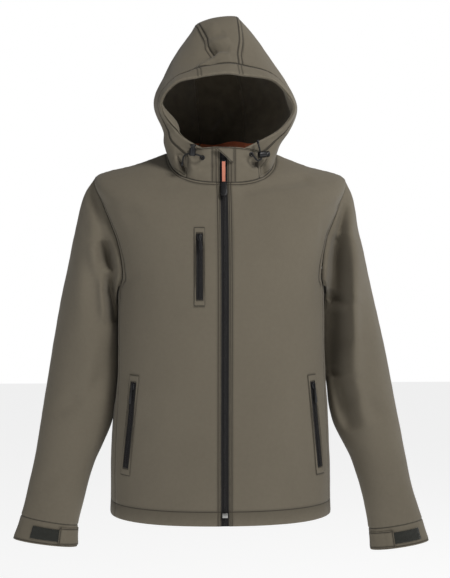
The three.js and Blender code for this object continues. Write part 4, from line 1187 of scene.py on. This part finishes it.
# a grid of cloth: its points follow the panel's rows and columns, and it is closed round if it is a tube
def clothPiece(s):
    rows, columns = s["grid"].shape[:2]
    bm = bmesh.new()
    bmesh.ops.create_grid(bm, x_segments=columns - 1, y_segments=rows - 1, size=1)
    mesh = bpy.data.meshes.new(s["name"])
    bm.to_mesh(mesh)
    bm.free()
    count = len(mesh.vertices)
    at = np.zeros(count * 3)
    mesh.vertices.foreach_get("co", at)
    at = at.reshape(-1, 3)
    c = np.rint((at[:, 0] + 1) / 2 * (columns - 1)).astype(int)
    r = np.rint((1 - at[:, 1]) / 2 * (rows - 1)).astype(int)
    mesh.vertices.foreach_set("co", (s["grid"][r, c] * mm).ravel())
    # dark holds the painted shade along the seams and stitches, nearEdge the wear near the edges
    for name, values in (("dark", s["dark"]), ("nearEdge", s["worn"])):
        mesh.attributes.new(name, "FLOAT", "POINT").data.foreach_set("value", values[r, c].astype(np.float32))
    corners = np.zeros(len(mesh.loops), np.int32)
    mesh.loops.foreach_get("vertex_index", corners)
    flat = np.stack([s["across"][r, c], -s["down"][r, c]], -1)[corners] * mm
    mesh.uv_layers.new(name="cloth").data.foreach_set("uv", flat.astype(np.float32).ravel())
    if s["tube"]:
        bm = bmesh.new()
        bm.from_mesh(mesh)
        bmesh.ops.remove_doubles(bm, verts=bm.verts, dist=0.02 * mm)
        bm.to_mesh(mesh)
        bm.free()
    mesh.shade_smooth()
    mesh.update()
    piece = newObject(s["name"], mesh, s["look"], s["inside"])
    wall = piece.modifiers.new("wall", "SOLIDIFY")
    wall.thickness = s["wall"] * mm
    wall.offset = -1
    wall.material_offset = 1
    wall.use_even_offset = False
    return finishPiece(piece, "root", s["slot"], *([s["node"]] if s["node"] else []))


for s in panels:
    s["piece"] = clothPiece(s)
    area = sum(p.area for p in s["piece"].data.polygons)
    wide, tall = np.mean(s["across"][:, -1]), np.mean(s["down"][-1])
    print(s["name"], s["grid"].shape[:2], f"{wide:.0f} x {tall:.0f} mm, {area:.4f} m2")


# the cut of each piece that shows, in metres: its width, its length and the area of its flat pattern
cuts = {
    "front": (0.25, 0.71, 0.144), "backPiece": (0.56, 0.78, 0.388), "sleeve": (0.46, 0.6, 0.193),
    "cuff": (0.277, 0.043, None), "collar": (0.068, 0.064, 0.0038), "hoodSide": (0.28, 0.29, 0.055),
    "hoodGusset": (0.09, 0.46, 0.038), "hoodBrim": (0.54, 0.05, 0.0245), "hoodFacing": (0.56, 0.044, 0.019),
    "chestZip": (0.0125, 0.117, None), "chestWelt": (0.285, 0.01, 0.0013), "handZip": (0.0125, 0.154, None),
    "handWelt": (0.368, 0.011, 0.0022), "mainZip": (0.019, 0.677, None), "zipGarage": (0.026, 0.034, 0.0007),
    "cuffTabLeft": (0.058, 0.031, None), "cuffTabRight": (0.072, 0.032, None), "cuffPatchLeft": (0.06, 0.022, None),
    "cuffPatchRight": (0.051, 0.022, None), "neckTape": (0.138, 0.015, None),
}
for s in panels:
    width, length, area = cuts[s["name"] if s["name"] in cuts else s["name"].replace("Left", "").replace("Right", "")]


# copies of a small shape, joined into one mesh
def repeated(name, shape, places, *materials):
    count, faces = len(shape.vertices), [tuple(p.vertices) for p in shape.polygons]
    at = np.ones(count * 4).reshape(-1, 4)
    at[:, :3] = [v.co for v in shape.vertices]
    points = np.concatenate([at @ np.array(m).T for m in places])[:, :3]
    mesh = bpy.data.meshes.new(name)
    mesh.from_pydata(points, [], [[i + k * count for i in face] for k in range(len(places)) for face in faces])
    mesh.shade_smooth()
    return newObject(name, mesh, *materials)


def shapeOf(name, make):
    bm = bmesh.new()
    make(bm)
    mesh = bpy.data.meshes.new(name)
    bm.to_mesh(mesh)
    bm.free()
    return mesh


# a matrix in metres with x along, z out
def placed(at, way, out):
    way = Vector(way).normalized()
    side = Vector(out).cross(way).normalized()
    turn = Matrix((way, side, way.cross(side))).transposed().to_4x4()
    return Matrix.Translation(Vector(at) * mm) @ turn


stitching = {"pitch": 3.3, "length": 2.5, "radius": 0.34, "proud": 0.12, "sight": 0.8}


def stitchShape(bm):
    bmesh.ops.create_icosphere(bm, subdivisions=1, radius=1)
    half = stitching["length"] / 2 * mm
    bmesh.ops.scale(bm, vec=(half, stitching["radius"] * mm, stitching["radius"] * mm), verts=bm.verts)


stitch = shapeOf("stitch", stitchShape)
groups = {}
for s, line, normals in stitchLines:
    reach = lengthsOf(line)[-1]
    starts = np.arange(stitching["pitch"], reach - stitching["pitch"], stitching["pitch"])
    at, before, after = (along(line, starts + d) for d in (0, -stitching["sight"], stitching["sight"]))
    out = np.stack([np.interp(starts, lengthsOf(line), normals[:, k]) for k in range(3)], -1)
    family = "Dark" if threadOf[s["look"]] == "darkThread" else s["name"][:4].capitalize()
    made = groups.setdefault(family, (threadOf[s["look"]], []))[1]
    made += [placed(p + n * stitching["proud"], b - a, n) for p, a, b, n in zip(at, before, after, out)]
for family, (look, places) in groups.items():
    finishPiece(repeated("stitches" + family, stitch, places, look), "root", "cloth")
    print("stitches", family, len(places))


# the teeth of a zip: two rows of small blocks along the middle of its tape
teeth = {
    "pitch": 1.9, "across": 2.7, "along": 1.1, "high": 1.3, "round": 0.3, "apart": 1.15, "proud": 0.35, "sight": 0.5,
}


def toothShape(bm):
    bmesh.ops.create_cube(bm, size=1)
    bmesh.ops.scale(bm, vec=(teeth["along"] * mm, teeth["across"] * mm, teeth["high"] * mm), verts=bm.verts)
    bmesh.ops.bevel(
        bm, geom=bm.edges[:], offset=teeth["round"] * mm, segments=1, profile=0.5, affect="EDGES", material=-1,
    )


def addTeeth(name, s, clear):
    middle = s["grid"].shape[1] // 2
    line, normals = s["grid"][:, middle], s["normals"][:, middle]
    reach = lengthsOf(line)[-1]
    places = []
    for k, start in enumerate(np.arange(clear + 1, reach - 1, teeth["pitch"] / 2)):
        p, a, b = (along(line, np.array([start + d]))[0] for d in (0, -teeth["sight"], teeth["sight"]))
        out = Vector([np.interp(start, lengthsOf(line), normals[:, j]) for j in range(3)])
        aside = Vector(b - a).cross(out).normalized() * (teeth["apart"] if k % 2 else -teeth["apart"])
        places.append(placed(Vector(p) + aside + out * teeth["high"] * teeth["proud"], b - a, out))
    finishPiece(repeated(name, shapeOf(name, toothShape), places, "teeth"), "root", "zip")
    print(name, len(places))


for name, clear in (("main", 4), ("chest", 6), ("handLeft", 6), ("handRight", 6)):
    addTeeth(name + "Teeth", panelNamed[name + "Zip"], clear)


# hard pieces: each is its solid with its facets joined, its edges rounded and its curved sides smooth.
# For each node: its body, its look, its slot and how round its edges are
hardPieces = {
    "main_slider": ("root", "hard", "hard", 0.5), "main_zip_box": ("root", "metal", "metal", 0.4),
    "main_pull_tape": ("main_pull", "pull", "orange", 0.35), "main_pull_end": ("main_pull", "hard", "hard", 0.6),
}
for name in pockets:
    hardPieces[name + "_slider"] = ("root", "hard", "hard", 0.5)
    hardPieces[name + "_pull"] = (name + "_pull", "hard", "hard", 0.45)
for part, look, slot, rounding in (
    ("eyelet", "hard", "hard", 0.35), ("cord_lock", "hard", "hard", 0.4), ("plunger", "hard", "hard", 0.4),
    ("cord_tip", "darkMetal", "metal", 0.35),
):
    for side in drawcords:
        node = f"{part}_{side}"
        hardPieces[node] = (node if part == "plunger" else "root", look, slot, rounding)
hardEdges = {"flat": 2, "sharp": 34, "smoothTo": 40, "segments": 3}
pullTape = {"half": 2.9, "top": -12}


# the tape is as wide at its slider as at its end, and its top clears the slider when it swings
def widen(bm, s):
    middle = sum(v.co.x for v in bm.verts) / len(bm.verts)
    for v in bm.verts:
        v.co.x = middle + math.copysign(s["half"] * mm, v.co.x - middle)
        v.co.z = min(v.co.z, s["top"] * mm)
    bmesh.ops.remove_doubles(bm, verts=bm.verts, dist=0.01 * mm)


def addHard(node, body, look, slot, rounding):
    bm = bmesh.new()
    bm.from_mesh(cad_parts[node].data)
    bmesh.ops.remove_doubles(bm, verts=bm.verts, dist=0.01 * mm)
    if node == "main_pull_tape":
        widen(bm, pullTape)
    flat, least = math.radians(hardEdges["flat"]), math.radians(hardEdges["sharp"])
    bmesh.ops.dissolve_limit(bm, angle_limit=flat, verts=bm.verts, edges=bm.edges)
    sharp = [e for e in bm.edges if len(e.link_faces) == 2 and e.calc_face_angle(0) > least]
    bmesh.ops.bevel(
        bm, geom=sharp, offset=rounding * mm, segments=hardEdges["segments"], profile=0.5, affect="EDGES", material=-1,
        clamp_overlap=True,
    )
    uv = bm.loops.layers.uv.new("cloth")
    for face in bm.faces:
        for loop in face.loops:
            loop[uv].uv = (loop.vert.co.x, loop.vert.co.z)
    mesh = bpy.data.meshes.new(pieceName(node))
    bm.to_mesh(mesh)
    bm.free()
    mesh.shade_smooth()
    mesh.set_sharp_from_angle(angle=math.radians(hardEdges["smoothTo"]))
    return finishPiece(newObject(mesh.name, mesh, look), body, slot, node)


hard = {node: addHard(node, *how) for node, how in hardPieces.items()}
for side, made in cords.items():
    made["piece"].data.materials.append(looks["cord"])
    hard["cord_tip_" + side]
print("hard pieces made")


# floor and light
studio = {"floor": -1.05, "reach": 9, "paper": "8c8c8c", "glow": 0.84}


def addStage(s):
    bm = bmesh.new()
    bmesh.ops.create_grid(bm, x_segments=1, y_segments=1, size=s["reach"])
    bmesh.ops.translate(bm, vec=(0, 0, s["floor"]), verts=bm.verts)
    mesh = bpy.data.meshes.new("paper")
    bm.to_mesh(mesh)
    bm.free()
    looks["paper"] = newMaterial("paper", {
        "Roughness": 0.9, "Specular IOR Level": 0.1, "Base Color": colour(s["paper"]), "Emission Color": (1, 1, 1, 1),
        "Emission Strength": s["glow"],
    })[0]
    newObject("paper", mesh, "paper")


addStage(studio)
lamps = {
    "key": {"at": (1.35, -1.75, 1.75), "to": (0.05, 0, 0), "size": 0.85, "power": 57, "tone": (1, 0.985, 0.96)},
    "fill": {"at": (-2.1, -2.1, 0.7), "to": (0, 0, -0.1), "size": 1.2, "power": 11, "tone": (0.98, 0.99, 1)},
    "rim": {"at": (2.3, 0.9, 0.9), "to": (0.2, 0, 0), "size": 1.0, "power": 16, "tone": (1, 1, 1)},
}
sky = {"tone": (0.97, 0.98, 1, 1), "strength": 0.08, "seen": (1, 1, 1, 1)}


def addLamp(name, s):
    data = bpy.data.lights.new(name, "AREA")
    data.shape = "DISK"
    data.size = s["size"]
    data.energy = s["power"]
    data.color = s["tone"]
    lamp = bpy.data.objects.new(name, data)
    lamp.location = s["at"]
    lamp.rotation_euler = (Vector(s["to"]) - Vector(s["at"])).to_track_quat("-Z", "Y").to_euler()
    bpy.context.scene.collection.objects.link(lamp)


for name, s in lamps.items():
    addLamp(name, s)


# a weak light all round, which shows as plain white behind the jacket
def addSky(s):
    world = bpy.data.worlds.new("sky")
    world.use_nodes = True
    tree = world.node_tree
    w = Wire(tree)
    tree.nodes["Background"].inputs[0].default_value = s["tone"]
    tree.nodes["Background"].inputs[1].default_value = s["strength"]
    light = Wire(tree, tree.nodes["Background"].outputs[0])
    white = w.node("ShaderNodeBackground", None, {0: s["seen"], 1: 1.0})
    both = w.node("ShaderNodeMixShader", None, {0: w.node("ShaderNodeLightPath"), 1: light, 2: white})
    tree.links.new(both.socket, tree.nodes["World Output"].inputs[0])
    bpy.context.scene.world = world


addSky(sky)
bpy.context.scene.view_settings.view_transform = "Standard"
print("stage and lights set")
